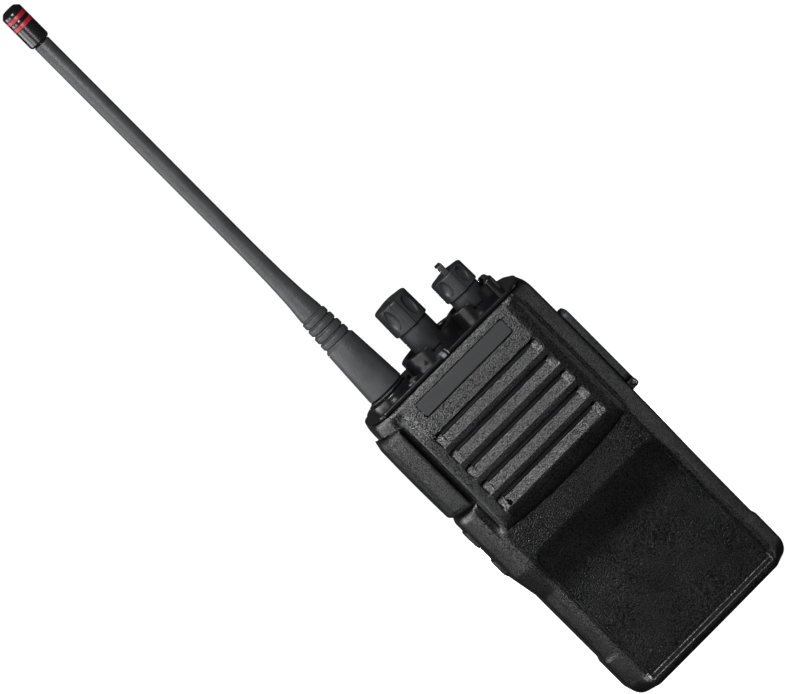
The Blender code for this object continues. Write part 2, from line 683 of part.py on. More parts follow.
def boards():
    board = box("main_board", (-24.0, 24.0), BOARD_Y, (9.0, 91.5), "board_green")
    cut(board, tool_box("jack_notch", (18.5, 30.0), (-4.0, 1.0), (JACK_Z[0] - 1.0, JACK_Z[1] + 1.0)))
    open_can("shield_can_front", (-20.0, 20.0), (-6.0, BOARD_Y[0] - GAP), (12.0, 50.0), 1)
    open_can("shield_can_rear", (-18.0, 18.0), (BOARD_Y[1] + GAP, 2.8), (20.0, 80.0), -1)
    block = box("terminal_block", (-8.0, 8.0), (BOARD_Y[1] + GAP, 4.9), (10.5, 15.5), "part_plastic")
    height = (TERMINAL_Z - 1.2, TERMINAL_Z + 1.2)
    for index, x in enumerate(TERMINALS):
        add(block, tool_box(f"prong_{index}", (x - 1.0, x + 1.0), (4.0, 5.3), height))


def rear_outline(half, front, back, corner):
    return (
        [(-half, front), (half, front)]
        + round_corner((half - corner, back - corner), corner, 0.0, 4)
        + round_corner((corner - half, back - corner), corner, 90.0, 4)
    )


def chassis():
    """The die-cast frame: a plate behind the boards and the ribbed upper back."""
    outline = rear_outline(28.4, HEAD_BACK_Y + GAP, BACK_Y, REAR_CORNER)
    frame = prism("chassis", outline, "Z", (CHASSIS_SHELF[0], HOUSING_TOP), "die_cast")
    half = HALF_WIDTH - WALL - GAP
    add(frame, tool_box("shelf", (-28.0, 28.0), (SEAM_Y + GAP, 10.0), CHASSIS_SHELF))
    add(frame, tool_box("shelf_root", (-half, half), (CHASSIS_Y[0], 6.0), CHASSIS_SHELF))
    add(frame, tool_box("plate", (-half, half), CHASSIS_Y, (3.2, CHASSIS_SHELF[0] + 0.5)))
    cut(frame, tool_box("terminal_window", (-8.4, 8.4), (2.0, 6.0), (10.1, 15.9)))
    depth = (BACK_Y - 0.9, BACK_Y + 1.0)
    for row in range(3):
        low = 91.8 + 4.0 * row
        cut(frame, tool_box(f"rib_gap_{row}", (-18.0, 18.0), depth, (low, low + 1.6)))
    for side in (-1, 1):
        upper = (side * SCREW_X, UPPER_SCREW_Z)
        lower = (side * SCREW_X, LOWER_SCREW_Z)
        cut(frame, tool_rod(f"upper_head_{side}", 2.6, (12.0, 20.0), upper, "Y"))
        cut(frame, tool_rod(f"upper_shank_{side}", 1.4, (8.0, 13.0), upper, "Y", 12))
        cut(frame, tool_rod(f"lower_head_{side}", 2.6, (2.0, 6.0), lower, "Y"))
        screw(f"chassis_screw_upper_{side + 2}", upper, 12.3, 5.9)
        screw(f"chassis_screw_lower_{side + 2}", lower, 3.3, 9.0)


def screw(name, centre, seat, length, head=1.3, carrier=None):
    """A screw driven along -Y, its head's underside at the seat."""
    shank = ((0.0, seat - length), (1.1, seat - length), (1.1, seat))
    cap = ((2.2, seat), (2.2, seat + head), (0.0, seat + head))
    turned(name, shank + cap, centre, "steel", "Y", 12, carrier)


def chassis_seal():
    outside = soft_rectangle((-26.1, 2.7), (26.1, 90.0), 2.5)
    inside = soft_rectangle((-25.2, 3.6), (25.2, 89.1), 1.6)
    ring = prism("chassis_seal", outside, "Y", (1.7, 3.0), "key_rubber")
    cut(ring, prism("seal_window_tool", inside, "Y", (1.0, 4.0), "felt"))


# ---------------------------------------------------------------- battery pack and belt clip


def battery_pack(carrier):
    room_half = PACK_HALF - PACK_WALL
    room = (4.4, PACK_Z[1] - PACK_WALL)
    lid_half = room_half - GAP
    lid_z = (room[0] + GAP, room[1] - GAP)
    lid = box("battery_lid", (-lid_half, lid_half), LID_Y, lid_z, "housing_black", carrier)
    outer = rear_outline(PACK_HALF, PACK_Y, BACK_Y, REAR_CORNER)
    inner = rear_outline(room_half, PACK_Y - 1.0, BACK_Y - PACK_WALL, REAR_CORNER - PACK_WALL)
    case = prism("battery_case", outer, "Z", PACK_Z, "housing_black", carrier)
    cut(case, prism("pack_cavity_tool", inner, "Z", room, "felt"))
    cut(case, tool_box("latch_pocket", (-10.4, 10.4), (4.0, 15.9), (-1.0, 2.4)))
    for side in (-1, 1):
        x = (side * FOOT_X - FOOT_HALF, side * FOOT_X + FOOT_HALF)
        add(case, tool_box(f"pack_foot_{side}", x, (8.4, 15.6), (-FOOT_HEIGHT, 1.0)))
    for index, low in enumerate((5.0, 45.6)):
        name = f"battery_cell_{index + 1}"
        box(name, (-25.0, 25.0), (8.8, 15.6), (low, low + 40.0), "cell_wrap", carrier, bevel=1.2)
    board = box("battery_board", (-10.0, 10.0), (LID_Y[1] + GAP, 8.3), (8.0, 18.0), "board_green", carrier)
    for index, x in enumerate(TERMINALS):
        window = (x - 1.6, x + 1.6)
        cut(lid, tool_box(f"pad_window_{index}", window, (4.0, 8.0), (TERMINAL_Z - 1.8, TERMINAL_Z + 1.8)))
        pad = tool_box(f"pad_{index}", (x - 1.1, x + 1.1), (5.6, 8.0), (TERMINAL_Z - 1.3, TERMINAL_Z + 1.3))
        add(board, pad)


def battery_latch(pack):
    carrier = pivot("battery_latch", (0.0, 10.0, 0.0))
    slider = box("battery_latch", (-10.0, 10.0), (7.6, 12.6), (0.0, 2.0), "trim_black", carrier)
    add(slider, tool_box("tongue", (-LATCH_TONGUE, LATCH_TONGUE), (3.8, 8.0), (0.9, 2.0)))
    for row in range(3):
        near = 8.6 + 1.3 * row
        add(slider, tool_box(f"thumb_rib_{row}", (-6.0, 6.0), (near, near + 0.6), (-0.5, 0.5)))
    spring("latch_spring", (0.0, 1.2), "Y", 0.75, 0.15, 5, (13.0, 15.5), "steel", pack)


def belt_clip(pack):
    half_plate = CLIP_HALF + GAP + 0.1 + CLIP_EAR
    y, z = CLIP_PIN
    plate = (BACK_Y + GAP, 19.5)
    bracket = box("clip_bracket", (-half_plate, half_plate), plate, (58.0, 84.0), "trim_black", pack)
    for side in (-1, 1):
        edges = sorted((side * half_plate, side * (half_plate - CLIP_EAR)))
        ear = soft_rectangle((19.0, z - 4.0), (y + 2.4, z + 4.0), 1.2)
        add(bracket, prism(f"ear_{side}_tool", ear, "X", edges, "felt"))
    cut(bracket, tool_rod("ear_bore", 1.2, (-12.0, 12.0), (y, z), "X", 12))
    for name, height in (("low", 61.5), ("middle", 66.5)):
        cut(bracket, tool_rod(f"clip_hole_{name}", 1.4, (17.0, 21.0), (0.0, height), "Y", 12))
        case_hole = tool_rod(f"case_hole_{name}", 1.4, (15.0, 19.0), (0.0, height), "Y", 12)
        cut(bpy.data.objects["battery_case"], case_hole)
        screw(f"clip_screw_{name}", (0.0, height), 19.8, 3.4, 1.1, pack)
    rod("clip_pin", 0.9, (-half_plate - 0.4, half_plate + 0.4), (y, z), "steel", "X", 12, pack)

    carrier = pivot("belt_clip", (0.0, y, z))
    outside = [(26.2, 91.0), (25.2, 80.0), (25.0, 75.0), (25.0, 40.0), (24.4, 33.6)]
    hook = [(22.8, 30.4), (20.8, 29.6), (19.6, 30.6), (21.6, 32.0)]
    inside = [(22.8, 35.0), (23.2, 40.0), (23.2, 73.0), (23.4, 80.0), (24.5, 91.0)]
    lever = prism("clip_lever", outside + hook + inside, "X", (-CLIP_HALF, CLIP_HALF), "trim_black", carrier)
    add(lever, rod("clip_hub_tool", 2.0, (-CLIP_HALF, CLIP_HALF), (y, z), "felt", "X"))
    cut(lever, tool_box("spring_room", (-4.5, 4.5), (19.0, 24.2), (z - 2.6, z + 2.6)))
    cut(lever, tool_rod("hub_bore", 1.2, (-12.0, 12.0), (y, z), "X", 12))
    spring("clip_spring", (y, z), "X", 1.6, 0.25, 6, (-4.0, 4.0), "steel", pack)


front_housing()
badge_plate()
top_panel()
led_lens()
controls()
antenna()
ptt_button()
side_keys()
jacks()
speaker()
boards()
chassis()
chassis_seal()
PACK = pivot("battery_pack", (0.0, 12.0, 44.0))
battery_pack(PACK)
battery_latch(PACK)
belt_clip(PACK)
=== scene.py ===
"""The looks of a hand-held two way radio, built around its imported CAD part.

Lengths are in millimetres, and heights are counted from the underside of the housing, as in the CAD part's
source. Every mesh is moved by SHIFT and scaled to metres when its piece is made. The front faces -Y.
"""

import json
import math

import bmesh
import bpy
import numpy as np
from mathutils import Matrix, Vector


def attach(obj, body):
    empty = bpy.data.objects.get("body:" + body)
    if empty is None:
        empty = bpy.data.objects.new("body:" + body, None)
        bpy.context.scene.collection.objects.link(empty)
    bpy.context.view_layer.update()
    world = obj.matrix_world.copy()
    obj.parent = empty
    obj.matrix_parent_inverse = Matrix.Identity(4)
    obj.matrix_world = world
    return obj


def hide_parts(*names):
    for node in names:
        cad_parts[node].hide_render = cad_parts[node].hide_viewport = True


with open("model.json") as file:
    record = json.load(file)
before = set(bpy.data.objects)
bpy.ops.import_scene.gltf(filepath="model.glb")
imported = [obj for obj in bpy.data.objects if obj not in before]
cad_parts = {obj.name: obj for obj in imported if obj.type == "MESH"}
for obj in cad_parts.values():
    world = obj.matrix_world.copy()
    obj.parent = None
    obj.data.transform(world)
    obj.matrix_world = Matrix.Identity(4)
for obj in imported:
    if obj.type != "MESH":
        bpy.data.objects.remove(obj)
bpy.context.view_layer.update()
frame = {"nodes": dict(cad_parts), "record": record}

MM = 0.001
ADD, CUT = "UNION", "DIFFERENCE"
SHIFT = np.array((0.0, -4.0, 1.0))

# Housing.
FRONT_Y = -16.4
FLAT = 24.0
HALF_WIDTH = 28.8
SIDE_Y = -9.0
BEND_Y = -4.0
SEAM_Y = 4.8
HEAD_BACK_Y = 9.0
HEAD_Z = 91.0
TOP_Z = 103.75
BOTTOM_Z = -0.95
CORNER_RISE = 4.6
INNER_FLAT = 22.4
INNER_HALF_WIDTH = 26.6
ROOF = (100.0, 106.0)

# Speaker panel and its louvres.
SHOULDER = 19.4
PANEL_EDGE = 22.0
PANEL_FOOT = 22.9
SHOULDER_DROP = 0.62
PANEL_FOOT_Z = 57.45
PANEL_RIDGE_Z = 62.9
PANEL_HEIGHTS = (57.0, 62.9, 80.0, 91.0, 92.4, 93.4, 96.0, 100.0, 102.6, 103.3, 103.75)
PANEL_DEPTHS = (-18.05, -18.15, -18.3, -18.3, -18.19, -18.05, -17.63, -16.93, -16.46, -16.2, -15.8)
ROWS = 5
GRILLE_TOP = 91.3
PITCH = 5.98
GRILLE_HALF = 19.2
SLIT_HALF = 17.1
SLIT_LOW = 1.62
SLIT_HIGH = 0.16
RIDGE = 4.28
RIDGE_Y = -18.35
EDGE_Y = -18.28
FLOOR_Y = -16.8
END_CAP = 0.62
BADGE_HALF = 16.7
BADGE_Z = (96.1, 101.1)
BADGE_GAP = 0.28
BADGE_RECESS = 0.6
MIC = (-16.9, 63.9)
MIC_DEPTH = 1.8

# Scoop.
SCOOP_DEPTH = 2.0
SCOOP_HALF = 23.0
SCOOP_TOP = 49.1
SCOOP_FLAT_TOP = 36.3
SCOOP_CORNER = 4.2
SCOOP_TILT = 0.5
RIM_DEPTH = 1.15
RIM_START = 23.45

# Left side: the swelling that carries the talk button, its pocket, and the grooves beside the speaker panel.
LOBE = 1.75
POCKET_DEPTH = 1.45
GROOVE_AT = 24.1
GROOVE_LEFT = 1.25
GROOVE_RIGHT = 0.9
KEY_POCKET = 3.9

# Controls.
ANTENNA_AXIS = (-18.2, 0.0)
VOLUME_AXIS = (-0.85, 0.0)
CHANNEL_AXIS = (15.4, 0.0)
LED_AXIS = (-11.8, -12.0)
PTT_Z = (70.3, 99.2)
PAD_INNER = (
    (-30.05, 1.6), (-30.0, -0.1), (-29.1, -0.8), (-29.0, -8.2), (-27.8, -11.0), (-25.6, -14.6), (-24.7, -15.45),
)
KEYS = {"upper": (58.7, 65.3), "lower": (48.1, 54.2)}
KEY_Y = (-7.0, 1.0)
COVER_AXIS = (30.6, 61.6)
KNOB_HOLLOWS = 5

# Back.
BACK_Y = 18.0
REAR_CORNER = 6.0
SCREW_X = 21.5
SCREW_TOP = 97.5
SCREW_LOW = 5.8
BRACKET_SCREWS = {"low": 61.5, "middle": 66.5}
CLIP_PIN = (22.0, 75.0)


# ---- materials


def link(tree, *path):
    for start, end in zip(path[::2], path[1::2]):
        tree.links.new(start, end)


def preset(node, **values):
    """Sets a node's inputs, named with underscores for spaces."""
    for name, value in values.items():
        node.inputs[name.replace("_", " ")].default_value = value


def ranged(tree, value, low, high, start=0.3, stop=0.7):
    """Maps a noise value to a range."""
    node = tree.nodes.new("ShaderNodeMapRange")
    preset(node, From_Min=start, From_Max=stop, To_Min=low, To_Max=high)
    tree.links.new(value, node.inputs["Value"])
    return node.outputs["Result"]


def noise(tree, place, per_mm, detail=2.0, rough=0.5):
    node = tree.nodes.new("ShaderNodeTexNoise")
    preset(node, Scale=per_mm, Detail=detail, Roughness=rough)
    tree.links.new(place, node.inputs["Vector"])
    return node.outputs["Fac"]


def arithmetic(tree, operation, first, second):
    node = tree.nodes.new("ShaderNodeMath")
    node.operation = operation
    for socket, value in zip(node.inputs, (first, second)):
        if isinstance(value, float):
            socket.default_value = value
        else:
            tree.links.new(value, socket)
    return node.outputs["Value"]


def blend_node(tree):
    node = tree.nodes.new("ShaderNodeMix")
    node.data_type = "RGBA"
    return node


def finish(
    name, colour, rough, metal=0.0, grain=3.0, depth=0.03, coarse=None, stretch=(1, 1, 1), wear=0.0,
    varied=0.25, specular=0.5, coat=0.0, masked=False,
):
    """A moulded, painted or plated surface: colour and gloss vary, and a fine grain stands out of it.

    The grain is counted to the millimetre. Coarse adds a second grain of its own size and depth, and the gloss
    comes and goes with it. Wear lightens outside edges. Masked takes the coarse grain's strength from the mesh.
    """
    material = bpy.data.materials.new(name)
    material.use_nodes = True
    tree = material.node_tree
    nodes = tree.nodes
    shader = nodes["Principled BSDF"]
    preset(shader, Metallic=metal, Specular_IOR_Level=specular, Coat_Weight=coat, Coat_Roughness=0.12)
    place = nodes.new("ShaderNodeMapping")
    preset(place, Scale=[part / MM for part in stretch])
    link(tree, nodes.new("ShaderNodeTexCoord").outputs["Object"], place.inputs["Vector"])
    place = place.outputs["Vector"]

    blotch = noise(tree, place, 0.12, 4.0, 0.6)
    mix = blend_node(tree)
    dark, light = [[part * (1.0 + sign * varied) for part in colour] for sign in (-1, 1)]
    preset(mix, A=(*dark, 1.0), B=(*light, 1.0))
    link(tree, ranged(tree, blotch, 0.0, 1.0), mix.inputs["Factor"])
    shade = mix.outputs["Result"]
    fine = noise(tree, place, grain, 3.0, 0.55)
    if wear:
        geometry = nodes.new("ShaderNodeNewGeometry")
        edge = ranged(tree, geometry.outputs["Pointiness"], 0.0, wear, 0.53, 0.60)
        edge = arithmetic(tree, "MULTIPLY", edge, ranged(tree, blotch, 0.2, 1.0))
        rub = blend_node(tree)
        preset(rub, B=(*[0.05 + part for part in colour], 1.0))
        link(tree, edge, rub.inputs["Factor"], shade, rub.inputs["A"])
        shade = rub.outputs["Result"]
    link(tree, shade, shader.inputs["Base Color"])

    gloss = ranged(tree, blotch, rough - 0.05, rough + 0.05)
    gloss = arithmetic(tree, "ADD", gloss, ranged(tree, fine, -0.04, 0.04))
    link(tree, gloss, shader.inputs["Roughness"])

    height = ranged(tree, fine, 0.0, depth)
    if coarse:
        pebbles = noise(tree, place, coarse[0], 1.5, 0.5)
        relief = ranged(tree, pebbles, 0.0, coarse[1], 0.35, 0.65)
        shine = ranged(tree, pebbles, 0.2 * specular, 1.8 * specular, 0.38, 0.62)
        link(tree, shine, shader.inputs["Specular IOR Level"])
        if masked:
            mask = nodes.new("ShaderNodeAttribute")
            mask.attribute_name = "coarse"
            relief = arithmetic(tree, "MULTIPLY", relief, mask.outputs["Fac"])
        height = arithmetic(tree, "ADD", height, relief)
    bump = nodes.new("ShaderNodeBump")
    preset(bump, Distance=MM)
    link(tree, height, bump.inputs["Height"], bump.outputs["Normal"], shader.inputs["Normal"])
    return material


LOOKS = {
    "housing_black": finish(
        "moulded_black", (0.004, 0.0041, 0.0044), 0.34, grain=4.0, depth=0.008, coarse=(3.0, 0.04), wear=0.1,
        specular=0.8,
    ),
    "trim_black": finish(
        "gloss_black", (0.008, 0.008, 0.009), 0.22, grain=4.0, depth=0.003, wear=0.2, coat=0.2
    ),
    "knob_grey": finish("knob_charcoal", (0.030, 0.031, 0.033), 0.44, grain=3.5, depth=0.02, wear=0.25),
    "antenna_rubber": finish("rubber_sleeve", (0.052, 0.053, 0.056), 0.46, grain=2.2, depth=0.035),
    "tip_red": finish("ring_red", (0.36, 0.012, 0.022), 0.38, grain=4.0, depth=0.006),
    "key_rubber": finish(
        "rubber_key", (0.007, 0.0072, 0.0076), 0.40, grain=4.0, depth=0.008, coarse=(3.0, 0.05)
    ),
    "badge_grey": finish(
        "satin_plate", (0.030, 0.031, 0.034), 0.42, metal=0.3, grain=3.0, depth=0.008, stretch=(0.15, 1, 1)
    ),
    "die_cast": finish("cast_frame", (0.022, 0.022, 0.024), 0.48, metal=0.4, grain=2.0, depth=0.03, wear=0.3),
    "steel": finish("plated_steel", (0.52, 0.52, 0.53), 0.28, metal=1.0, grain=5.0, depth=0.004, varied=0.1),
    "gold": finish("plated_gold", (0.78, 0.56, 0.24), 0.28, metal=1.0, grain=5.0, depth=0.004, varied=0.1),
    "board_green": finish("solder_mask", (0.012, 0.09, 0.035), 0.35, grain=1.4, depth=0.02, coat=0.3),
    "felt": finish("black_felt", (0.008, 0.008, 0.008), 0.92, grain=3.2, depth=0.08, specular=0.2),
    "inner_plastic": finish("inner_black", (0.035, 0.035, 0.038), 0.5, grain=2.2, depth=0.02),
    "lens": finish("smoke_lens", (0.06, 0.06, 0.055), 0.14, grain=3.0, depth=0.003, coat=0.5),
    "cell_wrap": finish("cell_wrap", (0.03, 0.09, 0.26), 0.32, grain=1.2, depth=0.02, coat=0.2),
}
HOUSING_LOOK = finish(
    "moulded_front", (0.004, 0.0041, 0.0044), 0.33, grain=4.5, depth=0.006, coarse=(3.0, 0.05), wear=0.3,
    masked=True, specular=0.8,
)
# The port cover's rubber is the key rubber made about four times lighter: a painted brightening in place of the
# light that falls on the cover from the right.
PAINTED_LIGHT_COVER_LOOK = finish("cover_rubber_painted_light", (0.030, 0.031, 0.033), 0.42, grain=4.0, depth=0.008, coarse=(3.0, 0.05))
PAINT_LOOK = finish("index_paint", (0.22, 0.225, 0.23), 0.5, grain=3.0, depth=0.01)
MESH_LOOK = finish("dust_mesh", (0.030, 0.031, 0.033), 0.40, grain=3.0, depth=0.03)
FLOOR_LOOK = finish("floor_paint", (0.80, 0.80, 0.80), 0.9, grain=0.02, depth=0.0, varied=0.01, specular=0.1)


# ---- shapes: each is its points and its faces


def joined(*shapes):
    points, faces = [], []
    for some_points, some_faces in shapes:
        start = len(points)
        points += list(some_points)
        faces += [[start + index for index in face] for face in some_faces]
    return points, faces


def spread(outline, axis, level):
    """Puts an outline's two coordinates in the plane square to an axis."""
    if axis == "X":
        return [(level, u, v) for u, v in outline]
    if axis == "Y":
        return [(u, level, v) for u, v in outline]
    return [(u, v, level) for u, v in outline]


def loft(rings, closed=False):
    """A skin over rings of points, with flat ends unless the rings run round to the first again."""
    count = len(rings[0])
    points = [point for ring in rings for point in ring]
    faces = []
    pairs = len(rings) if closed else len(rings) - 1
    for row in range(pairs):
        above = (row + 1) % len(rings)
        for here in range(count):
            after = (here + 1) % count
            low, high = row * count, above * count
            faces.append((low + here, low + after, high + after, high + here))
    if not closed:
        faces.append(tuple(range(count)))
        faces.append(tuple(range((len(rings) - 1) * count, len(rings) * count)))
    return points, faces


def filleted(corners, closed=True, steps=5):
    """Rounds the corners of an outline. A corner is its two coordinates and its radius."""
    made = []
    count = len(corners)
    for index, corner in enumerate(corners):
        here = np.array(corner[:2], float)
        radius = corner[2] if len(corner) > 2 else 0.0
        end = not closed and index in (0, count - 1)
        before = np.array(corners[index - 1][:2], float) - here
        after = np.array(corners[(index + 1) % count][:2], float) - here
        lengths = np.linalg.norm(before), np.linalg.norm(after)
        if end or radius == 0.0 or min(lengths) < 1e-9:
            made.append(tuple(here))
            continue
        before, after = before / lengths[0], after / lengths[1]
        half = math.acos(max(-1.0, min(1.0, float(before @ after)))) / 2.0
        if half > math.radians(89.0):
            made.append(tuple(here))
            continue
        tangent = min(radius / math.tan(half), 0.48 * min(lengths))
        radius = tangent * math.tan(half)
        middle = before + after
        centre = here + middle / np.linalg.norm(middle) * radius / math.sin(half)
        first = here + before * tangent - centre
        last = here + after * tangent - centre
        turn = math.atan2(first[0] * last[1] - first[1] * last[0], float(first @ last))
        for step in range(steps + 1):
            angle = turn * step / steps
            cos, sin = math.cos(angle), math.sin(angle)
            made.append(tuple(centre + (first[0] * cos - first[1] * sin, first[0] * sin + first[1] * cos)))
    return made


def rectangle(low, high, radius, steps=5):
    (left, bottom), (right, top) = low, high
    corners = [(left, bottom), (right, bottom), (right, top), (left, top)]
    return filleted([(*corner, radius) for corner in corners], steps=steps)


def inset(outline, distance):
    """Moves an outline's edges inwards."""
    points = np.array(outline, float)
    area = float(np.sum(points[:, 0] * np.roll(points[:, 1], -1) - points[:, 1] * np.roll(points[:, 0], -1)))
    ahead = np.roll(points, -1, axis=0) - points
    ahead /= np.linalg.norm(ahead, axis=1)[:, None]
    normal = np.stack((-ahead[:, 1], ahead[:, 0]), axis=1) * (1.0 if area > 0 else -1.0)
    corner = normal + np.roll(normal, 1, axis=0)
    corner /= np.maximum(np.sum(corner * normal, axis=1), 0.3)[:, None]
    return [tuple(point) for point in points + corner * distance]


def pillow(outline, axis, span, low_round=0.0, high_round=0.0, steps=4):
    """A prism whose end edges are rounded."""
    turns = [math.pi / 2 * step / steps for step in range(steps + 1)]
    low, high = [(0.0, span[0])], [(0.0, span[1])]
    if low_round:
        low = [
            (low_round * (1.0 - math.sin(turn)), span[0] + low_round * (1 - math.cos(turn))) for turn in turns
        ]
    if high_round:
        high = [
            (high_round * (1.0 - math.cos(turn)), span[1] - high_round * (1 - math.sin(turn))) for turn in turns
        ]
    return loft([spread(inset(outline, distance), axis, level) for distance, level in low + high])


def block(low, high, radius, axis, span, low_round=0.0, high_round=0.0, corner_steps=5, steps=4):
    """A pillow on a rounded rectangle."""
    return pillow(rectangle(low, high, radius, corner_steps), axis, span, low_round, high_round, steps)


def revolved(profile, centre, axis="Z", segments=48, closed=False):
    """A turned solid from radii and levels. A closed profile runs round the wall of a tube."""
    turns = np.linspace(0.0, math.tau, segments, endpoint=False)
    rings = []
    for radius, level in profile:
        outline = [(centre[0] + radius * math.cos(turn), centre[1] + radius * math.sin(turn)) for turn in turns]
        rings.append(spread(outline, axis, level))
    return loft(rings, closed)


def rod(radius, span, centre, axis="Z", segments=48):
    """A plain cylinder between two levels."""
    return revolved([(radius, level) for level in span], centre, axis, segments)


# ---- pieces


def placed(name, data):
    obj = bpy.data.objects.new(name, data)
    bpy.context.collection.objects.link(obj)
    return obj


def raw(name, shape):
    """An object of a shape, with every face turned outwards."""
    points, faces = shape
    bm = bmesh.new()
    corners = [bm.verts.new((np.array(point, float) + SHIFT) * MM) for point in points]
    for face in faces:
        bm.faces.new([corners[index] for index in face])
    bmesh.ops.recalc_face_normals(bm, faces=bm.faces)
    mesh = bpy.data.meshes.new(name)
    bm.to_mesh(mesh)
    bm.free()
    return placed(name, mesh)


def carved(obj, steps):
    """Applies exact booleans. A step is an operation and the shape it uses."""
    tools = []
    for number, (operation, shape) in enumerate(steps):
        tool = raw(f"{obj.name}_tool_{number}", shape)
        modifier = obj.modifiers.new(tool.name, "BOOLEAN")
        modifier.operation = operation
        modifier.solver = "EXACT"
        modifier.object = tool
        tools.append(tool)
    bpy.context.view_layer.update()
    seen = obj.evaluated_get(bpy.context.evaluated_depsgraph_get())
    mesh = bpy.data.meshes.new_from_object(seen)
    obj.modifiers.clear()
    old, obj.data = obj.data, mesh
    bpy.data.meshes.remove(old)
    for tool in tools:
        bpy.data.meshes.remove(tool.data)
    return obj


def dressed(obj, body, slot, stands_for=(), look=None, sharp=40.0, weighted=True):
    """Gives a new piece its body and its finish, and hides the CAD nodes that it stands for."""
    obj.data.materials.clear()
    obj.data.materials.append(look or LOOKS[slot])
    obj.data.shade_smooth()
    obj.data.set_sharp_from_angle(angle=math.radians(sharp))
    if weighted:
        shading = obj.modifiers.new("shading", "WEIGHTED_NORMAL")
        shading.keep_sharp = True
    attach(obj, body)
    if stands_for:
        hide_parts(*stands_for)
    return obj


def piece(name, shape, body, slot, stands_for=(), steps=(), **options):
    obj = raw(name, shape)
    if steps:
        carved(obj, steps)
    return dressed(obj, body, slot, stands_for, **options)


def ramp(low, high, value):
    return np.clip((value - low) / (high - low), 0.0, 1.0)


def smooth(low, high, value):
    part = ramp(low, high, value)
    return part * part * (3.0 - 2.0 * part)


def fall(low, high, value):
    return 1.0 - smooth(low, high, value)


def arched(part):
    """Rises steeply and levels off, as a quarter circle does."""
    return np.sqrt(np.clip(1.0 - (1.0 - np.clip(part, 0.0, 1.0)) ** 2, 0.0, 1.0))


def curl(part):
    return 1.0 - arched(part)


def rounded_distance(x, z, middle, half, radius):
    """Signed distance to a rounded rectangle's edge, negative inside it."""
    dx = np.abs(x - middle[0]) - (half[0] - radius)
    dz = np.abs(z - middle[1]) - (half[1] - radius)
    outside = np.hypot(np.maximum(dx, 0.0), np.maximum(dz, 0.0))
    return outside + np.minimum(np.maximum(dx, dz), 0.0) - radius


def lines(low, high, step, *fine):
    """Grid lines, closer together over each fine stretch of (start, stop, step)."""
    base = [*np.arange(low, high, step), high]
    kept = [value for value in base if not any(a - 0.4 * step < value < b + 0.4 * step for a, b, _ in fine)]
    for start, stop, small in fine:
        count = max(1, round((stop - start) / small))
        kept += list(np.linspace(start, stop, count + 1))
    kept += [low, high]
    return np.unique(np.round([value for value in kept if low <= value <= high], 4))


# ---- front housing


def side_path():
    """Half of the housing's outline from above, from the front's middle to the seam, and its running length."""
    corners = [(0.0, FRONT_Y), (FLAT, FRONT_Y, 1.3), (HALF_WIDTH, SIDE_Y, 5.0), (HALF_WIDTH, SEAM_Y)]
    path = np.array(filleted(corners, closed=False, steps=12))
    run = np.concatenate(([0.0], np.cumsum(np.linalg.norm(np.diff(path, axis=0), axis=1))))
    return path, run


def column_lines(end):
    """Grid lines along the outline: the left ones are negative."""
    shared = (
        (16.35, 16.95, 0.1),
        (17.0, 17.2, 0.1),
        (18.2, 19.6, 0.14),
        (20.0, 22.2, 0.35),
        (22.2, 23.4, 0.1),
        (23.4, 25.6, 0.14),
    )
    left_only = ((30.5, 33.0, 0.4), (43.2, 44.3, 0.12), (34.3, 36.3, 0.14), (41.0, 43.0, 0.14))
    left = lines(0.0, end, 0.6, *shared, *left_only)
    mic = np.linspace(-MIC[0] - 0.75, -MIC[0] + 0.75, 13)
    left = np.unique(np.round(np.concatenate((left, mic)), 3))
    right = lines(0.0, end, 0.6, *shared, (30.5, 33.0, 0.4), (35.1, 35.3, 0.1), (42.3, 42.5, 0.1))
    keep = [left[0]] + [b for a, b in zip(left, left[1:]) if b - a > 0.03]
    return np.concatenate((-np.array(keep)[:0:-1], right))


def row_lines():
    fine = [(BOTTOM_Z, 0.9, 0.12), (0.9, 4.2, 0.2), (12.2, 14.4, 0.3), (47.6, 49.6, 0.18), (57.0, 62.9, 0.3)]
    fine += [(39.0, 41.0, 0.35), (66.8, 70.2, 0.17), (99.3, 99.8, 0.1), (95.9, 96.5, 0.1), (100.7, 101.3, 0.1)]
    fine += [(101.6, TOP_Z, 0.2), (90.9, 91.1, 0.1), (62.9, 64.7, 0.14)]
    for low, high in KEYS.values():
        fine += [(low - 0.5, low + 1.4, 0.14), (high - 1.4, high + 0.5, 0.14)]
    fine += [(65.6, 65.8, 0.1), (86.2, 86.4, 0.1), (69.8, 70.0, 0.1)]
    rows = list(lines(BOTTOM_Z, TOP_Z, 0.6, *fine))
    for row in range(ROWS):
        top = GRILLE_TOP - PITCH * row
        offsets = (-0.25, -0.1, 0.0, 0.05, 0.1, SLIT_HIGH, 0.9, SLIT_LOW, SLIT_LOW + 0.08, 1.9, 2.4, 3.0, 3.6)
        offsets += (RIDGE - 0.25, RIDGE - 0.12, RIDGE, RIDGE + 0.12, RIDGE + 0.25, 5.0)
        rows = [value for value in rows if not top - RIDGE - 0.35 < value < top + 0.35]
        rows += [top - offset for offset in offsets]
    rows = np.unique(np.round(rows, 3))
    kept = [rows[0]]
    for value in rows[1:]:
        if value - kept[-1] > 0.035:
            kept.append(value)
    kept[-1] = TOP_Z
    return np.array(kept)


def width_at(z, sign):
    width = np.interp(z, (3.9, 12.4, 13.9, 60.0, 91.0, 100.0), (29.05, 29.1, 28.6, 28.8, 29.0, 28.95))
    width = width + 0.3 * (sign > 0) * smooth(30.0, 60.0, z)
    width = width - 3.6 * curl((z - BOTTOM_Z) / CORNER_RISE)
    return width - 1.0 * curl((TOP_Z - z) / 4.5)


def front_at(x, z):
    """The front face is a little crowned across, and rounded over at its foot and its head."""
    low = 1.0 * curl((z - BOTTOM_Z) / 1.5)
    far = np.abs(x)
    crown = 0.35 * np.minimum(far / FLAT, 1.0) ** 2 * fall(FLAT, HALF_WIDTH, far)
    return FRONT_Y + crown + low + 0.5 * curl((TOP_Z - z) / 1.5)


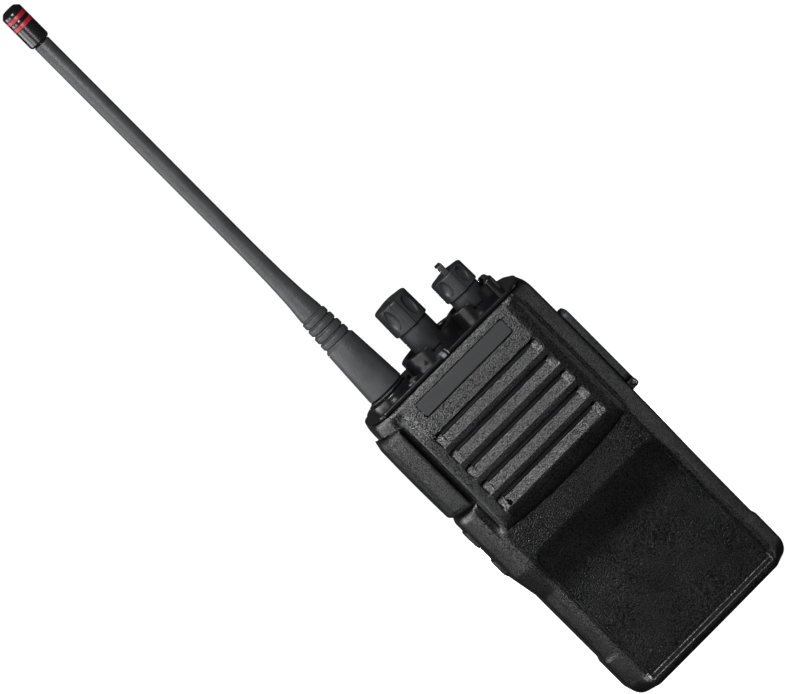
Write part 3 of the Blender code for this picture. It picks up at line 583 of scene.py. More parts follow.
def panel_at(z):
    """Depth of the speaker panel's face beside the louvres."""
    return np.interp(z, PANEL_HEIGHTS, PANEL_DEPTHS)


def louvre_at(x, z):
    """Depth of the louvres: an edge over each slit, a floor up to a ridge, and a face back to the next edge."""
    depth = np.interp(z, (GRILLE_TOP, 92.5), (EDGE_Y - 0.1, -18.2))
    depth = depth + panel_at(z) - panel_at(np.minimum(z, 92.5))
    beside = smooth(SLIT_HALF - 0.02, SLIT_HALF + 0.12, np.abs(x))
    for row in range(ROWS):
        top = GRILLE_TOP - PITCH * row
        down = top - z
        floor = np.interp(down, (0.0, 0.1, SLIT_LOW + 0.06, RIDGE), (EDGE_Y, FLOOR_Y, FLOOR_Y, RIDGE_Y))
        level = np.interp(down, (0.0, 0.1, RIDGE), (EDGE_Y, FLOOR_Y + END_CAP, RIDGE_Y))
        inside = (down > -0.001) & (down <= RIDGE)
        depth = np.where(inside, floor * (1.0 - beside) + level * beside, depth)
        part = ramp(RIDGE, PITCH, down)
        face = RIDGE_Y + (EDGE_Y - RIDGE_Y) * part**2
        depth = np.where((down > RIDGE) & (down <= PITCH), face, depth)
    return depth


def front_relief(x, z, base):
    """Depth of the front face, with the speaker panel, the badge's place, the louvres and the scoop."""
    far = np.abs(x)
    foot = PANEL_FOOT_Z + 1.0 * (far / 20.0) ** 2.4
    across = arched((PANEL_FOOT - far) / (PANEL_FOOT - PANEL_EDGE))
    raised = across * arched((z - foot) / (PANEL_RIDGE_Z - PANEL_FOOT_Z))
    part = np.clip((far - SHOULDER) / (PANEL_EDGE - SHOULDER), 0.0, 2.0)
    face = panel_at(z) + SHOULDER_DROP * part ** 1.3 * fall(100.0, 103.0, z)
    depth = base + (np.minimum(face, base - 0.05) - base) * raised
    top_gap = np.full_like(z, 9.0)
    for row in range(ROWS):
        down = GRILLE_TOP - PITCH * row - z
        top_gap = np.where((down >= -0.2) & (down < 5.0), down, top_gap)
    reach = GRILLE_HALF - 0.9 * np.clip(1.0 - top_gap / 0.9, 0.0, 1.0)
    louvred = fall(0.0, 0.3, far - reach) * ramp(PANEL_RIDGE_Z - 2.4, PANEL_RIDGE_Z - 0.4, z)
    louvred = louvred * fall(93.6, 95.4, z)
    depth = depth * (1.0 - louvred) + louvre_at(x, z) * louvred
    badge = rounded_distance(x, z, (0.0, sum(BADGE_Z) / 2), (BADGE_HALF, (BADGE_Z[1] - BADGE_Z[0]) / 2), 0.9)
    depth = depth + BADGE_RECESS * fall(-0.06, 0.06, badge)
    mic = np.hypot(x - MIC[0], z - MIC[1])
    depth = depth + MIC_DEPTH * fall(0.45, 0.62, mic)

    middle = (0.0, SCOOP_TOP / 2.0 - 10.0)
    edge = rounded_distance(x, z, middle, (SCOOP_HALF, SCOOP_TOP - middle[1]), SCOOP_CORNER)
    wall = SCOOP_DEPTH * smooth(0.0, 1.0, -edge / 0.4)
    slope = SCOOP_DEPTH * (SCOOP_TOP - z) / (SCOOP_TOP - SCOOP_FLAT_TOP)
    soft = 0.28
    floor = SCOOP_DEPTH - soft * np.log1p(np.exp(np.clip((SCOOP_DEPTH - slope) / soft, -30.0, 30.0)))
    floor = (np.minimum(floor, SCOOP_DEPTH) - SCOOP_TILT * ramp(36.0, 3.0, z)) * smooth(1.2, 2.6, z)
    scoop = np.where(edge < 0.0, np.maximum(np.minimum(np.maximum(floor, 0.0), wall), 0.0), 0.0)
    return depth + scoop


def grain_at(z, run):
    """How coarse the moulded grain is: strong on the middle of the front, faint on the side strips."""
    middle = fall(22.6, 23.4, np.abs(run))
    scoop = fall(47.0, 49.0, z) * smooth(37.0, 39.0, z)
    return 0.55 + middle * (0.45 - 0.5 * scoop) - 0.35 * fall(2.4, 3.6, z)


def housing_shape():
    path, run = side_path()
    columns = column_lines(float(run[-1]))
    rows = row_lines()
    way, z = np.meshgrid(columns, rows)
    sign = np.sign(way)
    px = np.interp(np.abs(way), run, path[:, 0])
    py = np.interp(np.abs(way), run, path[:, 1])
    flat = FLAT - 1.6 * curl((z - BOTTOM_Z) / CORNER_RISE)
    width = width_at(z, sign)
    x = np.where(px <= FLAT, px * flat / FLAT, flat + (px - FLAT) * (width - flat) / (HALF_WIDTH - FLAT))
    x = x * sign
    back = np.where(z > HEAD_Z + 0.05, HEAD_BACK_Y, SEAM_Y)
    y = py + (front_at(x, z) - FRONT_Y) * np.clip((SEAM_Y - py) / (SEAM_Y - SIDE_Y), 0.0, 1.0)
    y = np.where(y > BEND_Y, BEND_Y + (y - BEND_Y) * (back - BEND_Y) / (SEAM_Y - BEND_Y), y)

    tx = np.gradient(x, axis=1)
    ty = np.gradient(y, axis=1)
    size = np.hypot(tx, ty)
    nx, ny = ty / size, -tx / size
    far = np.abs(way)
    left = way < 0.0
    tall = ramp(37.4, 47.0, z) * np.sqrt(1.0 - ramp(67.0, 69.75, z) ** 2)
    lobe = LOBE * tall * smooth(23.4, 27.2, far) * fall(1.7, 2.7, y) * left
    groove = smooth(58.0, 62.0, z) * fall(99.0, 102.5, z)
    groove = groove * np.clip(1.0 - np.abs(far - GROOVE_AT) / 1.35, 0.0, 1.0) ** 0.8
    pocket = ramp(69.85, 69.97, z) * (1.0 - ramp(99.5, 99.62, z))
    pocket = pocket * ramp(24.0, 25.0, far) * (1.0 - ramp(1.95, 2.08, y)) * left
    groove = groove * np.where(left, GROOVE_LEFT, GROOVE_RIGHT) * (1.0 - 0.6 * pocket * (far > 24.4))
    out = lobe - POCKET_DEPTH * pocket - groove
    for low, high in KEYS.values():
        middle = ((KEY_Y[0] + KEY_Y[1]) / 2.0, (low + high) / 2.0)
        edge = rounded_distance(y, z, middle, (4.3, (high - low) / 2.0 + 0.3), 1.6)
        out = out - KEY_POCKET * fall(-0.08, 0.08, edge) * left * (far > 30.0)
    base = y.copy()
    rim = smooth(22.2, 22.9, far) * fall(23.6, 27.0, far)
    rim = rim * fall(38.0, 49.0, z) * smooth(1.0, 4.0, z)
    lowered = base + RIM_DEPTH * rim
    front = front_relief(x, z, base)
    front = np.where(rim > 0.0, np.maximum(front, lowered), front)
    y = np.where(far < RIM_START, front, lowered) + ny * out
    x = x + nx * out

    inner_z = np.interp(z, (BOTTOM_Z, 4.2, 99.8, TOP_Z), (2.0, 4.2, 99.8, 102.0))
    depth = np.interp(
        inner_z, (0.0, 50.0, 57.0, 61.0, 92.5, 95.0, 104.0), (-12.4, -12.4, -14.3, -15.85, -15.85, -14.4, -14.4)
    )
    beyond = INNER_FLAT + (px - FLAT) * (INNER_HALF_WIDTH - INNER_FLAT) / (HALF_WIDTH - FLAT)
    inner_x = sign * np.where(px <= FLAT, px * INNER_FLAT / FLAT, beyond)
    blend = np.clip((SEAM_Y - py) / (SEAM_Y - FRONT_Y), 0.0, 1.0)
    inner_y = SEAM_Y + (depth - SEAM_Y) * blend
    stretched = BEND_Y + (inner_y - BEND_Y) * (back - BEND_Y) / (SEAM_Y - BEND_Y)
    inner_y = np.where(inner_y > BEND_Y, stretched, inner_y)

    tops = (rows[:-1] + np.diff(rows) / 2)[:, None]
    lefts = (columns[:-1] + np.diff(columns) / 2)[None, :]
    gone = np.zeros((len(rows) - 1, len(columns) - 1), bool)
    for row in range(ROWS):
        down = GRILLE_TOP - PITCH * row - tops
        gone |= (np.abs(lefts) < SLIT_HALF) & (down > SLIT_HIGH - 0.01) & (down < SLIT_LOW + 0.01)
    centre_y = (base[:-1, :-1] + base[1:, 1:]) / 2.0
    gone |= (lefts > 30.0) & (centre_y > -6.6) & (centre_y < 0.6) & (tops > 65.7) & (tops < 86.3)

    height, wide = z.shape
    outer = np.stack((x, y, z), axis=-1).reshape(-1, 3)
    inner = np.stack((inner_x, inner_y, inner_z), axis=-1).reshape(-1, 3)
    index = np.arange(height * wide).reshape(height, wide)
    there = ~gone
    corners = (index[:-1, :-1], index[:-1, 1:], index[1:, 1:], index[1:, :-1])
    outer_faces = np.stack([corner[there] for corner in corners], axis=1)
    total = height * wide
    faces = [outer_faces, outer_faces[:, ::-1] + total]
    padded = np.zeros((height + 1, wide + 1), bool)
    padded[1:-1, 1:-1] = there
    upright = padded[1:-1, 1:] != padded[1:-1, :-1]
    level = padded[1:, 1:-1] != padded[:-1, 1:-1]
    level[0] = level[-1] = False
    for border, up, along in ((upright, 1, 0), (level, 0, 1)):
        rows_at, columns_at = np.nonzero(border)
        low, high = index[rows_at, columns_at], index[rows_at + up, columns_at + along]
        faces.append(np.stack((low, high, high + total, low + total), axis=1))
    faces = [tuple(face) for part in faces for face in part.tolist()]
    for row in (index[0], index[-1]):
        faces += [tuple(row.tolist()), tuple((row + total).tolist())]
        first, last = int(row[0]), int(row[-1])
        faces.append((first, last, last + total, first + total))
    coarse = np.concatenate((grain_at(z, way).ravel(), np.zeros(total)))
    return (np.concatenate((outer, inner)), faces), coarse


def front_housing():
    (points, faces), coarse = housing_shape()
    mesh = bpy.data.meshes.new("front_shell")
    mesh.from_pydata(((points + SHIFT) * MM).tolist(), [], faces)
    layer = mesh.attributes.new("coarse", "FLOAT", "POINT")
    layer.data.foreach_set("value", coarse.astype(np.float32))
    half = len(points) // 2
    bm = bmesh.new()
    bm.from_mesh(mesh)
    bmesh.ops.recalc_face_normals(bm, faces=bm.faces)
    loose = [vert for vert in bm.verts if not vert.link_faces]
    inside = [vert for vert in bm.verts if vert.index >= half and vert.link_faces]
    edges = [edge for edge in bm.edges if all(vert.index >= half for vert in edge.verts)]
    bmesh.ops.delete(bm, geom=loose, context="VERTS")
    bmesh.ops.dissolve_limit(
        bm, angle_limit=math.radians(2.0), use_dissolve_boundaries=False, verts=inside, edges=edges
    )
    bm.to_mesh(mesh)
    bm.free()
    obj = placed("front_shell", mesh)
    bores = [
        rod(4.7, ROOF, ANTENNA_AXIS, segments=32),
        rod(3.9, ROOF, VOLUME_AXIS, segments=32),
        rod(3.9, ROOF, CHANNEL_AXIS, segments=32),
        rod(1.4, ROOF, LED_AXIS, segments=16),
        block((-5.4, 3.4), (5.4, 6.5), 0.4, "Z", (-0.2, 3.0)),
    ]
    carved(obj, [(CUT, joined(*bores))])
    dressed(obj, "housing", "housing_black", ("front_housing",), look=HOUSING_LOOK, weighted=False, sharp=60.0)

    feet = []
    for side in (-1, 1):
        near, far = side * 20.8 - 1.25, side * 20.8 + 1.25
        feet.append(block((near, -12.0), (far, 1.6), 0.6, "Z", (-1.0, 0.05), 0.4))
    piece("standing_ridges", joined(*feet), "housing", "housing_black")
    lugs = []
    x = COVER_AXIS[0]
    lug = [(28.55, 60.3, 0.2), (x + 1.1, 60.3, 1.0), (x + 1.1, 62.8, 1.0), (28.55, 62.8, 0.2)]
    for near in (-8.4, 0.2):
        lugs.append(pillow(filleted(lug), "Y", (near, near + 1.6), 0.2, 0.2))
    bore = rod(0.8, (-9.0, 3.0), COVER_AXIS, "Y", 16)
    piece("cover_lugs", joined(*lugs), "housing", "housing_black", steps=[(CUT, bore)])


def speaker_mesh():
    """The dust screen in the slits: a narrow bar in each, with an open gap round it."""
    strips = []
    for row in range(ROWS):
        top = GRILLE_TOP - PITCH * row
        low, high = (-SLIT_HALF + 0.15, top - 1.36), (SLIT_HALF - 0.15, top - 0.34)
        strips.append(block(low, high, 0.2, "Y", (-16.72, -16.3), 0.08, corner_steps=2, steps=2))
    piece("dust_mesh", joined(*strips), "housing", "felt", look=MESH_LOOK, weighted=False)


def badge_plate():
    middle = sum(BADGE_Z) / 2
    half = (BADGE_Z[1] - BADGE_Z[0]) / 2 - BADGE_GAP
    wide = BADGE_HALF - BADGE_GAP
    thick = 0.55
    flat, faces = block(
        (-wide, middle - half), (wide, middle + half), 0.7, "Y", (-thick, 0.0), 0.12, corner_steps=6, steps=3
    )
    points = [(x, y + float(panel_at(z)) + thick, z) for x, y, z in flat]
    piece("badge_face", (points, faces), "housing", "badge_grey", ("badge_plate",))


# ---- top


def top_panel():
    half = [(22.6, 17.5, 4.0), (26.5, 9.0, 12.0), (28.2, -2.0, 14.0), (28.0, -8.8, 3.0), (25.4, -15.9, 2.6)]
    outline = half + [(-x, y, radius) for x, y, radius in reversed(half)]
    panel = pillow(filleted(outline, steps=8), "Z", (104.05, 105.15), 0.2, 0.45)
    steps = []
    for bore, axis in ((4.7, ANTENNA_AXIS), (7.65, VOLUME_AXIS), (6.95, CHANNEL_AXIS), (1.4, LED_AXIS)):
        steps.append((CUT, rod(bore, (103.0, 107.0), axis)))
    guards = (
        (4.72, 7.2, 106.4, ANTENNA_AXIS),
        (7.6, 9.6, 109.2, VOLUME_AXIS),
        (6.9, 8.4, 109.4, CHANNEL_AXIS),
        (1.42, 2.1, 105.6, LED_AXIS),
    )
    for inner, outer, top, axis in guards:
        lip = min(0.45, (outer - inner) * 0.4)
        profile = [(inner, 104.4), (inner, top, lip), (outer, top, lip), (outer + 0.15, 104.4)]
        steps.append((ADD, revolved(filleted(profile, steps=4), axis, segments=64, closed=True)))
    wall = block((20.6, -7.0), (23.3, 7.0), 1.2, "Z", (104.6, 110.1), high_round=0.7, corner_steps=6)
    steps.append((ADD, wall))
    steps.append((CUT, rod(6.9, (105.5, 112.0), CHANNEL_AXIS)))
    for x, _ in (VOLUME_AXIS, CHANNEL_AXIS):
        notch = filleted([(x - 2.5, 112.0), (x - 1.4, 106.2, 0.4), (x + 1.4, 106.2, 0.4), (x + 2.5, 112.0)])
        steps.append((CUT, pillow(notch, "Y", (-12.0, -4.0))))
    piece("top_trim", panel, "housing", "trim_black", ("top_panel",), steps, sharp=32.0)
    x = -1.4
    mark = [(-16.0, 104.2), (-16.0, 105.2, 0.5), (-15.3, 105.35, 0.3)]
    mark += [(-10.3, 105.35), (-10.3, 104.6), (-15.0, 104.6)]
    for name, near, far in (("index_mark", x - 0.6, x + 0.6), ("index_line", x + 1.35, x + 1.65)):
        piece(name, pillow(filleted(mark), "X", (near, far)), "housing", "lens", look=PAINT_LOOK)


def knob_shape(axis, neck, low, high, radius, rows):
    """A knob: neck, skirt, oval finger hollows, a pointer rib at the front, and a slightly domed top."""
    turns = np.linspace(0.0, math.tau, 220, endpoint=False)
    dome = 0.45
    skirt, edge = low + 0.2, 0.6
    levels = [(neck - 0.3, 106.5), (neck, 106.9), (neck, low - 1.0), (neck - 0.05, low - 0.35)]
    levels += [(neck + 0.1, low - 0.1), (radius - 0.1, low), (radius + 0.08, skirt)]
    for part in np.linspace(0, 1, rows)[1:]:
        levels.append((radius + 0.08 - 0.12 * part, skirt + (high - 0.7 - skirt) * part))
    for turn in np.linspace(0.2, math.pi / 2, 5):
        levels.append((radius - 0.04 - edge * (1 - math.cos(turn)), high - 0.7 + edge * math.sin(turn)))
    levels += [(radius - 1.0, high - 0.06), (radius - 1.5, high)]
    levels += [(radius * 0.5, high + dome * 0.7), (0.5, high + dome)]
    middle = (low + high) / 2.0 + 0.35
    tall = (high - low) * 0.36
    rings = []
    for far, level in levels:
        ring = []
        for turn in turns:
            out = far
            if far > radius - 0.9 and level > low - 0.05:
                for grip in range(KNOB_HOLLOWS):
                    lean = turn + math.pi / 2 - math.pi / KNOB_HOLLOWS - math.tau * grip / KNOB_HOLLOWS
                    lean = (lean + math.pi) % math.tau - math.pi
                    inside = (lean * radius / 1.55) ** 2 + ((level - middle) / tall) ** 2
                    out -= 0.85 * max(0.0, 1.0 - inside) ** 0.55
            lean = (turn + math.pi / 2 + math.pi) % math.tau - math.pi
            across = abs(lean * radius)
            if low - 0.3 < level < high and far > radius - 0.9:
                out += 0.5 * float(fall(0.9, 1.08, across))
            ring.append((axis[0] + out * math.cos(turn), axis[1] + out * math.sin(turn), level))
        rings.append(ring)
    return loft(rings)


def knobs():
    shape = knob_shape(VOLUME_AXIS, 5.0, 115.0, 124.0, 5.6, 26)
    x, y = VOLUME_AXIS
    bore = rod(2.5, (105.0, 121.9), VOLUME_AXIS, segments=32)
    slot = block((x - 0.35, y - 6.5), (x + 0.35, y - 1.6), 0.3, "Z", (123.85, 125.0))
    steps = [(CUT, bore), (CUT, slot)]
    options = {"weighted": False, "sharp": 38.0}
    piece("volume_grip", shape, "volume_control", "knob_grey", ("volume_knob",), steps, **options)

    shape = knob_shape(CHANNEL_AXIS, 4.9, 111.7, 118.6, 5.4, 20)
    x, y = CHANNEL_AXIS
    bore = rod(2.5, (105.0, 116.4), CHANNEL_AXIS, segments=32)
    side = filleted([(y - 4.7, 118.2), (y - 4.7, 121.7, 0.5), (y + 1.2, 121.7, 0.9), (y + 1.9, 118.2)])
    fin = pillow(side, "X", (x - 0.9, x + 0.9), 0.2, 0.2)
    steps = [(CUT, bore), (ADD, fin)]
    piece("channel_grip", shape, "channel_control", "knob_grey", ("channel_knob",), steps, **options)


def antenna():
    sleeve = [(3.1, 107.6, 0.1), (5.75, 107.6, 0.35), (4.8, 125.4, 0.3)]
    for middle, radius in ((127.5, 4.5), (129.9, 4.35), (132.5, 4.2), (134.9, 4.0)):
        sleeve += [(radius - 0.55, middle - 1.1, 0.2), (radius, middle - 0.85, 0.45)]
        sleeve += [(radius, middle + 0.85, 0.45), (radius - 0.55, middle + 1.1, 0.2)]
    sleeve += [(3.6, 136.7, 0.6), (3.0, 143.0, 20.0), (2.65, 151.0, 20.0), (2.5, 160.0, 30.0)]
    sleeve += [(2.5, 200.0), (2.5, 241.0, 0.2), (1.0, 241.0), (1.0, 117.6), (3.1, 117.3)]
    profile = filleted(sleeve, steps=4)
    skin = revolved(profile, ANTENNA_AXIS, segments=64, closed=True)
    piece("rubber_sleeve", skin, "antenna", "antenna_rubber", ("antenna_sleeve",), weighted=False)
    cap_r = 3.25
    cap = [(0.25, 247.3), (1.0, 247.3), (1.0, 241.3), (cap_r - 0.4, 241.3, 0.2), (cap_r, 241.9, 0.3)]
    for middle in (248.25, 250.75):
        low, high = middle - 0.72, middle + 0.72
        cap += [(cap_r, low, 0.08), (cap_r - 0.5, low), (cap_r - 0.5, high), (cap_r, high, 0.08)]
    cap += [(cap_r, 252.6, 0.7), (cap_r - 1.2, 253.75, 0.5), (0.25, 253.75)]
    piece("tip_cap", revolved(filleted(cap, False), ANTENNA_AXIS), "antenna", "trim_black", ("antenna_cap",))
    for name, middle in (("lower", 248.25), ("upper", 250.75)):
        low, high = middle - 0.65, middle + 0.65
        near, far = cap_r - 0.45, cap_r + 0.02
        band = [(near, low), (far, low, 0.12), (far, high, 0.12), (near, high)]
        ring = revolved(filleted(band), ANTENNA_AXIS, closed=True)
        piece(f"red_ring_{name}", ring, "antenna", "tip_red", (f"tip_band_{name}",))
    seal = filleted([(3.1, 106.5), (6.0, 106.5, 0.3), (5.8, 107.35, 0.3), (3.1, 107.35)])
    ring = revolved(seal, ANTENNA_AXIS, closed=True)
    piece("base_seal", ring, "antenna_lift", "key_rubber", ("antenna_seal",))


# ---- sides


def talk_button():
    """The talk button: a pad that wraps the front corner, with a raised textured field."""
    outer = [(-24.6, -15.95, 0.35), (-25.4, -16.0, 1.2), (-28.9, -11.6, 3.0)]
    outer += [(-30.7, -8.0, 4.0), (-31.2, -3.0, 6.0), (-30.7, 1.6, 0.8)]
    inner = [(*corner, 0.2) for corner in PAD_INNER]
    outline = np.array(filleted(outer + inner, steps=8))
    rings = []
    low, high = PTT_Z
    stretches = ((low, low + 2.2, 12), (low + 2.2, high - 3.2, 40), (high - 3.2, high, 16))
    for height in np.unique(np.concatenate([np.linspace(*stretch) for stretch in stretches])):
        foot, head = curl((height - low) / 1.4), curl((high - height) / 3.0)
        bulge = math.sin(math.pi * min(1.0, max(0.0, (height - low) / (high - low))))
        pull = 0.9 * foot + 1.5 * head - 0.25 * bulge
        field = float(smooth(low + 1.2, low + 1.7, height) * fall(high - 4.0, high - 3.4, height))
        ring = []
        for x, y in outline:
            skin = float(ramp(0.3, 1.2, skin_distance(x, y)))
            lift = field * float(smooth(-14.9, -14.4, y) * fall(-9.6, -9.0, y)) * skin * 0.22
            reach = pull * skin
            ring.append((x + reach * 0.85 - lift * 0.84, y + reach * 0.3 - lift * 0.54, height))
        rings.append(ring)
    options = {"weighted": False, "sharp": 50.0}
    pad = piece("talk_pad", loft(rings), "talk_button", "key_rubber", ("ptt_button",), **options)
    bm = bmesh.new()
    bm.from_mesh(pad.data)
    bmesh.ops.triangulate(bm, faces=[face for face in bm.faces if len(face.verts) > 4])
    bm.to_mesh(pad.data)
    bm.free()


def skin_distance(x, y):
    """How far a point of the talk button's outline is outside the pad's inner face."""
    best = 99.0
    for (ax, ay), (bx, by) in zip(PAD_INNER, PAD_INNER[1:]):
        along = ((x - ax) * (bx - ax) + (y - ay) * (by - ay)) / ((bx - ax) ** 2 + (by - ay) ** 2)
        along = min(1.0, max(0.0, along))
        best = min(best, math.hypot(x - ax - along * (bx - ax), y - ay - along * (by - ay)))
    return best


def side_keys():
    for name, (low, high) in KEYS.items():
        corners = (KEY_Y[0], low), (KEY_Y[1], high)
        cap = block(*corners, 1.5, "X", (-31.15, -27.85), 0.7, corner_steps=6, steps=5)
        piece(f"{name}_key_cap", cap, f"{name}_key", "key_rubber", (f"side_key_{name}",))


def jack_cover():
    x, z = COVER_AXIS
    panel = block((-8.4, z + 1.4), (1.8, 89.2), 2.2, "X", (29.4, 31.45), 0.2, 0.8, corner_steps=8, steps=5)
    neck = filleted([(x - 1.0, z), (x + 1.0, z), (x + 0.9, z + 2.6), (x - 0.9, z + 2.6)])
    steps = [
        (CUT, block((-6.6, z + 3.6), (0.0, 86.6), 1.4, "X", (31.15, 32.5), corner_steps=6)),
        (ADD, pillow(neck, "Y", (-6.35, -0.25))),
        (ADD, rod(1.15, (-6.4, -0.2), COVER_AXIS, "Y", 32)),
        (CUT, rod(0.8, (-10.0, 4.0), COVER_AXIS, "Y", 24)),
    ]
    # The cover's finish is the lightened rubber, with light from the right painted into its colour.
    piece("port_cover", panel, "accessory_cover", "key_rubber", ("jack_cover",), steps, look=PAINTED_LIGHT_COVER_LOOK)


# ---- back


def chassis():
    back = filleted([(-28.2, 9.3, 0.5), (28.2, 9.3, 0.5), (28.2, BACK_Y, 8.0), (-28.2, BACK_Y, 8.0)], steps=8)
    back = pillow(back, "Z", (88.5, 103.75), 0.4, 1.2)
    steps = [
        (ADD, block((-28.0, 5.1), (28.0, 10.0), 0.3, "Z", (88.6, 90.7))),
        (ADD, block((-26.5, 3.3), (26.5, 6.0), 0.2, "Z", (88.7, 90.6))),
        (ADD, block((-26.5, 3.2), (26.5, 89.0), 1.0, "Y", (3.35, 4.8))),
        (CUT, block((-8.4, 10.1), (8.4, 15.9), 0.4, "Y", (2.0, 6.0))),
    ]
    for row in range(3):
        low = 91.8 + 4.0 * row
        groove = block((-18.0, low), (18.0, low + 1.6), 0.8, "Y", (BACK_Y - 0.9, BACK_Y + 1.0), corner_steps=6)
        steps.append((CUT, groove))
    for side in (-1, 1):
        upper, lower = (side * SCREW_X, SCREW_TOP), (side * SCREW_X, SCREW_LOW)
        well = filleted([(2.6, 12.0), (2.6, 17.6, 0.2), (3.1, 18.2), (3.1, 20.0)], False)
        steps.append((CUT, revolved(well, upper, "Y", 32)))
        steps.append((CUT, rod(1.4, (8.0, 13.0), upper, "Y", 16)))
        steps.append((CUT, rod(2.6, (2.0, 6.0), lower, "Y", 32)))
    piece("cast_back", back, "housing", "die_cast", ("chassis",), steps, sharp=32.0)


def screw(name, node, centre, seat, length, head, body):
    """A pan head screw with a cross recess, driven along -Y."""
    tip = seat - length
    profile = [(0.3, tip), (1.1, tip + 0.6)]
    threads = int((length - 1.2) / 0.5)
    for turn in range(threads):
        level = tip + 0.7 + 0.5 * turn
        profile += [(0.95, level), (1.1, level + 0.25)]
    profile += [(1.1, seat), (2.2, seat, 0.1), (2.2, seat + head * 0.55, 0.3)]
    profile += [(1.4, seat + head, 0.6), (0.3, seat + head)]
    x, z = centre
    slots = []
    deep = (seat + head - 0.8, seat + head + 1.0)
    for wide, tall in ((1.25, 0.26), (0.26, 1.25)):
        slot = block((x - wide, z - tall), (x + wide, z + tall), 0.1, "Y", deep, corner_steps=2)
        slots.append((CUT, slot))
    shape = revolved(filleted(profile, False, 3), centre, "Y", 24)
    piece(name, shape, body, "steel", (node,), slots, sharp=35.0)


def screws():
    places = (("top", "upper", SCREW_TOP, 12.3, 5.9), ("low", "lower", SCREW_LOW, 3.3, 9.0))
    for side in (-1, 1):
        hand = "left" if side < 0 else "right"
        for name, node, z, seat, length in places:
            node = f"chassis_screw_{node}_{side + 2}"
            screw(f"frame_screw_{name}_{hand}", node, (side * SCREW_X, z), seat, length, 1.3, "housing")
    for name, z in BRACKET_SCREWS.items():
        screw(f"bracket_screw_{name}", f"clip_screw_{name}", (0.0, z), 19.8, 3.4, 1.1, "battery_pack")


def battery():
    corners = [(-28.2, 5.1, 1.2), (28.2, 5.1, 1.2), (28.2, BACK_Y, REAR_CORNER), (-28.2, BACK_Y, REAR_CORNER)]
    case = pillow(filleted(corners, steps=8), "Z", (0.3, 88.2), 0.9, 0.6)
    room = filleted([(-26.4, 4.1), (26.4, 4.1), (26.4, 16.2, 4.2), (-26.4, 16.2, 4.2)])
    steps = [
        (CUT, pillow(room, "Z", (4.4, 86.4))),
        (CUT, block((-10.4, 4.0), (10.4, 15.9), 0.4, "Z", (-1.0, 2.4))),
        (CUT, block((-18.5, 12.0), (18.5, 50.0), 2.0, "Y", (17.65, 19.0), corner_steps=6)),
    ]
    for z in BRACKET_SCREWS.values():
        steps.append((CUT, rod(1.4, (15.0, 19.0), (0.0, z), "Y", 16)))
    for row in range(4):
        low = 4.4 + 1.5 * row
        groove = block((-14.0, low), (14.0, low + 0.7), 0.35, "Y", (17.7, 19.0), corner_steps=4)
        steps.append((CUT, groove))
    for side in (-1, 1):
        near, far = side * 20.8 - 1.25, side * 20.8 + 1.25
        steps.append((ADD, block((near, 8.4), (far, 15.6), 0.5, "Z", (-1.0, 1.4), 0.4)))
        depths = sorted((side * 27.75, side * 29.0))
        for row in range(5):
            low = 70.0 + 2.4 * row
            steps.append((CUT, block((8.0, low), (13.0, low + 1.2), 0.5, "X", depths, corner_steps=4)))
    piece("pack_case", case, "battery_pack", "housing_black", ("battery_case",), steps, sharp=32.0)

    slider = block((-10.0, 7.6), (10.0, 12.6), 0.6, "Z", (0.0, 2.0), 0.3, 0.2)
    steps = [
        (ADD, block((-5.0, 3.8), (5.0, 8.5), 0.3, "Z", (0.9, 1.9))),
        (CUT, block((-1.1, 10.2), (1.1, 14.0), 0.2, "Z", (0.15, 3.0))),
    ]
    for row in range(3):
        near = 8.6 + 1.3 * row
        rib = filleted([(near, 0.12), (near, -0.5, 0.2), (near + 0.6, -0.5, 0.2), (near + 0.6, 0.12)])
        steps.append((ADD, pillow(rib, "X", (-6.0, 6.0), 0.2, 0.2)))
    piece("latch_slider", slider, "pack_latch", "trim_black", ("battery_latch",), steps, sharp=32.0)


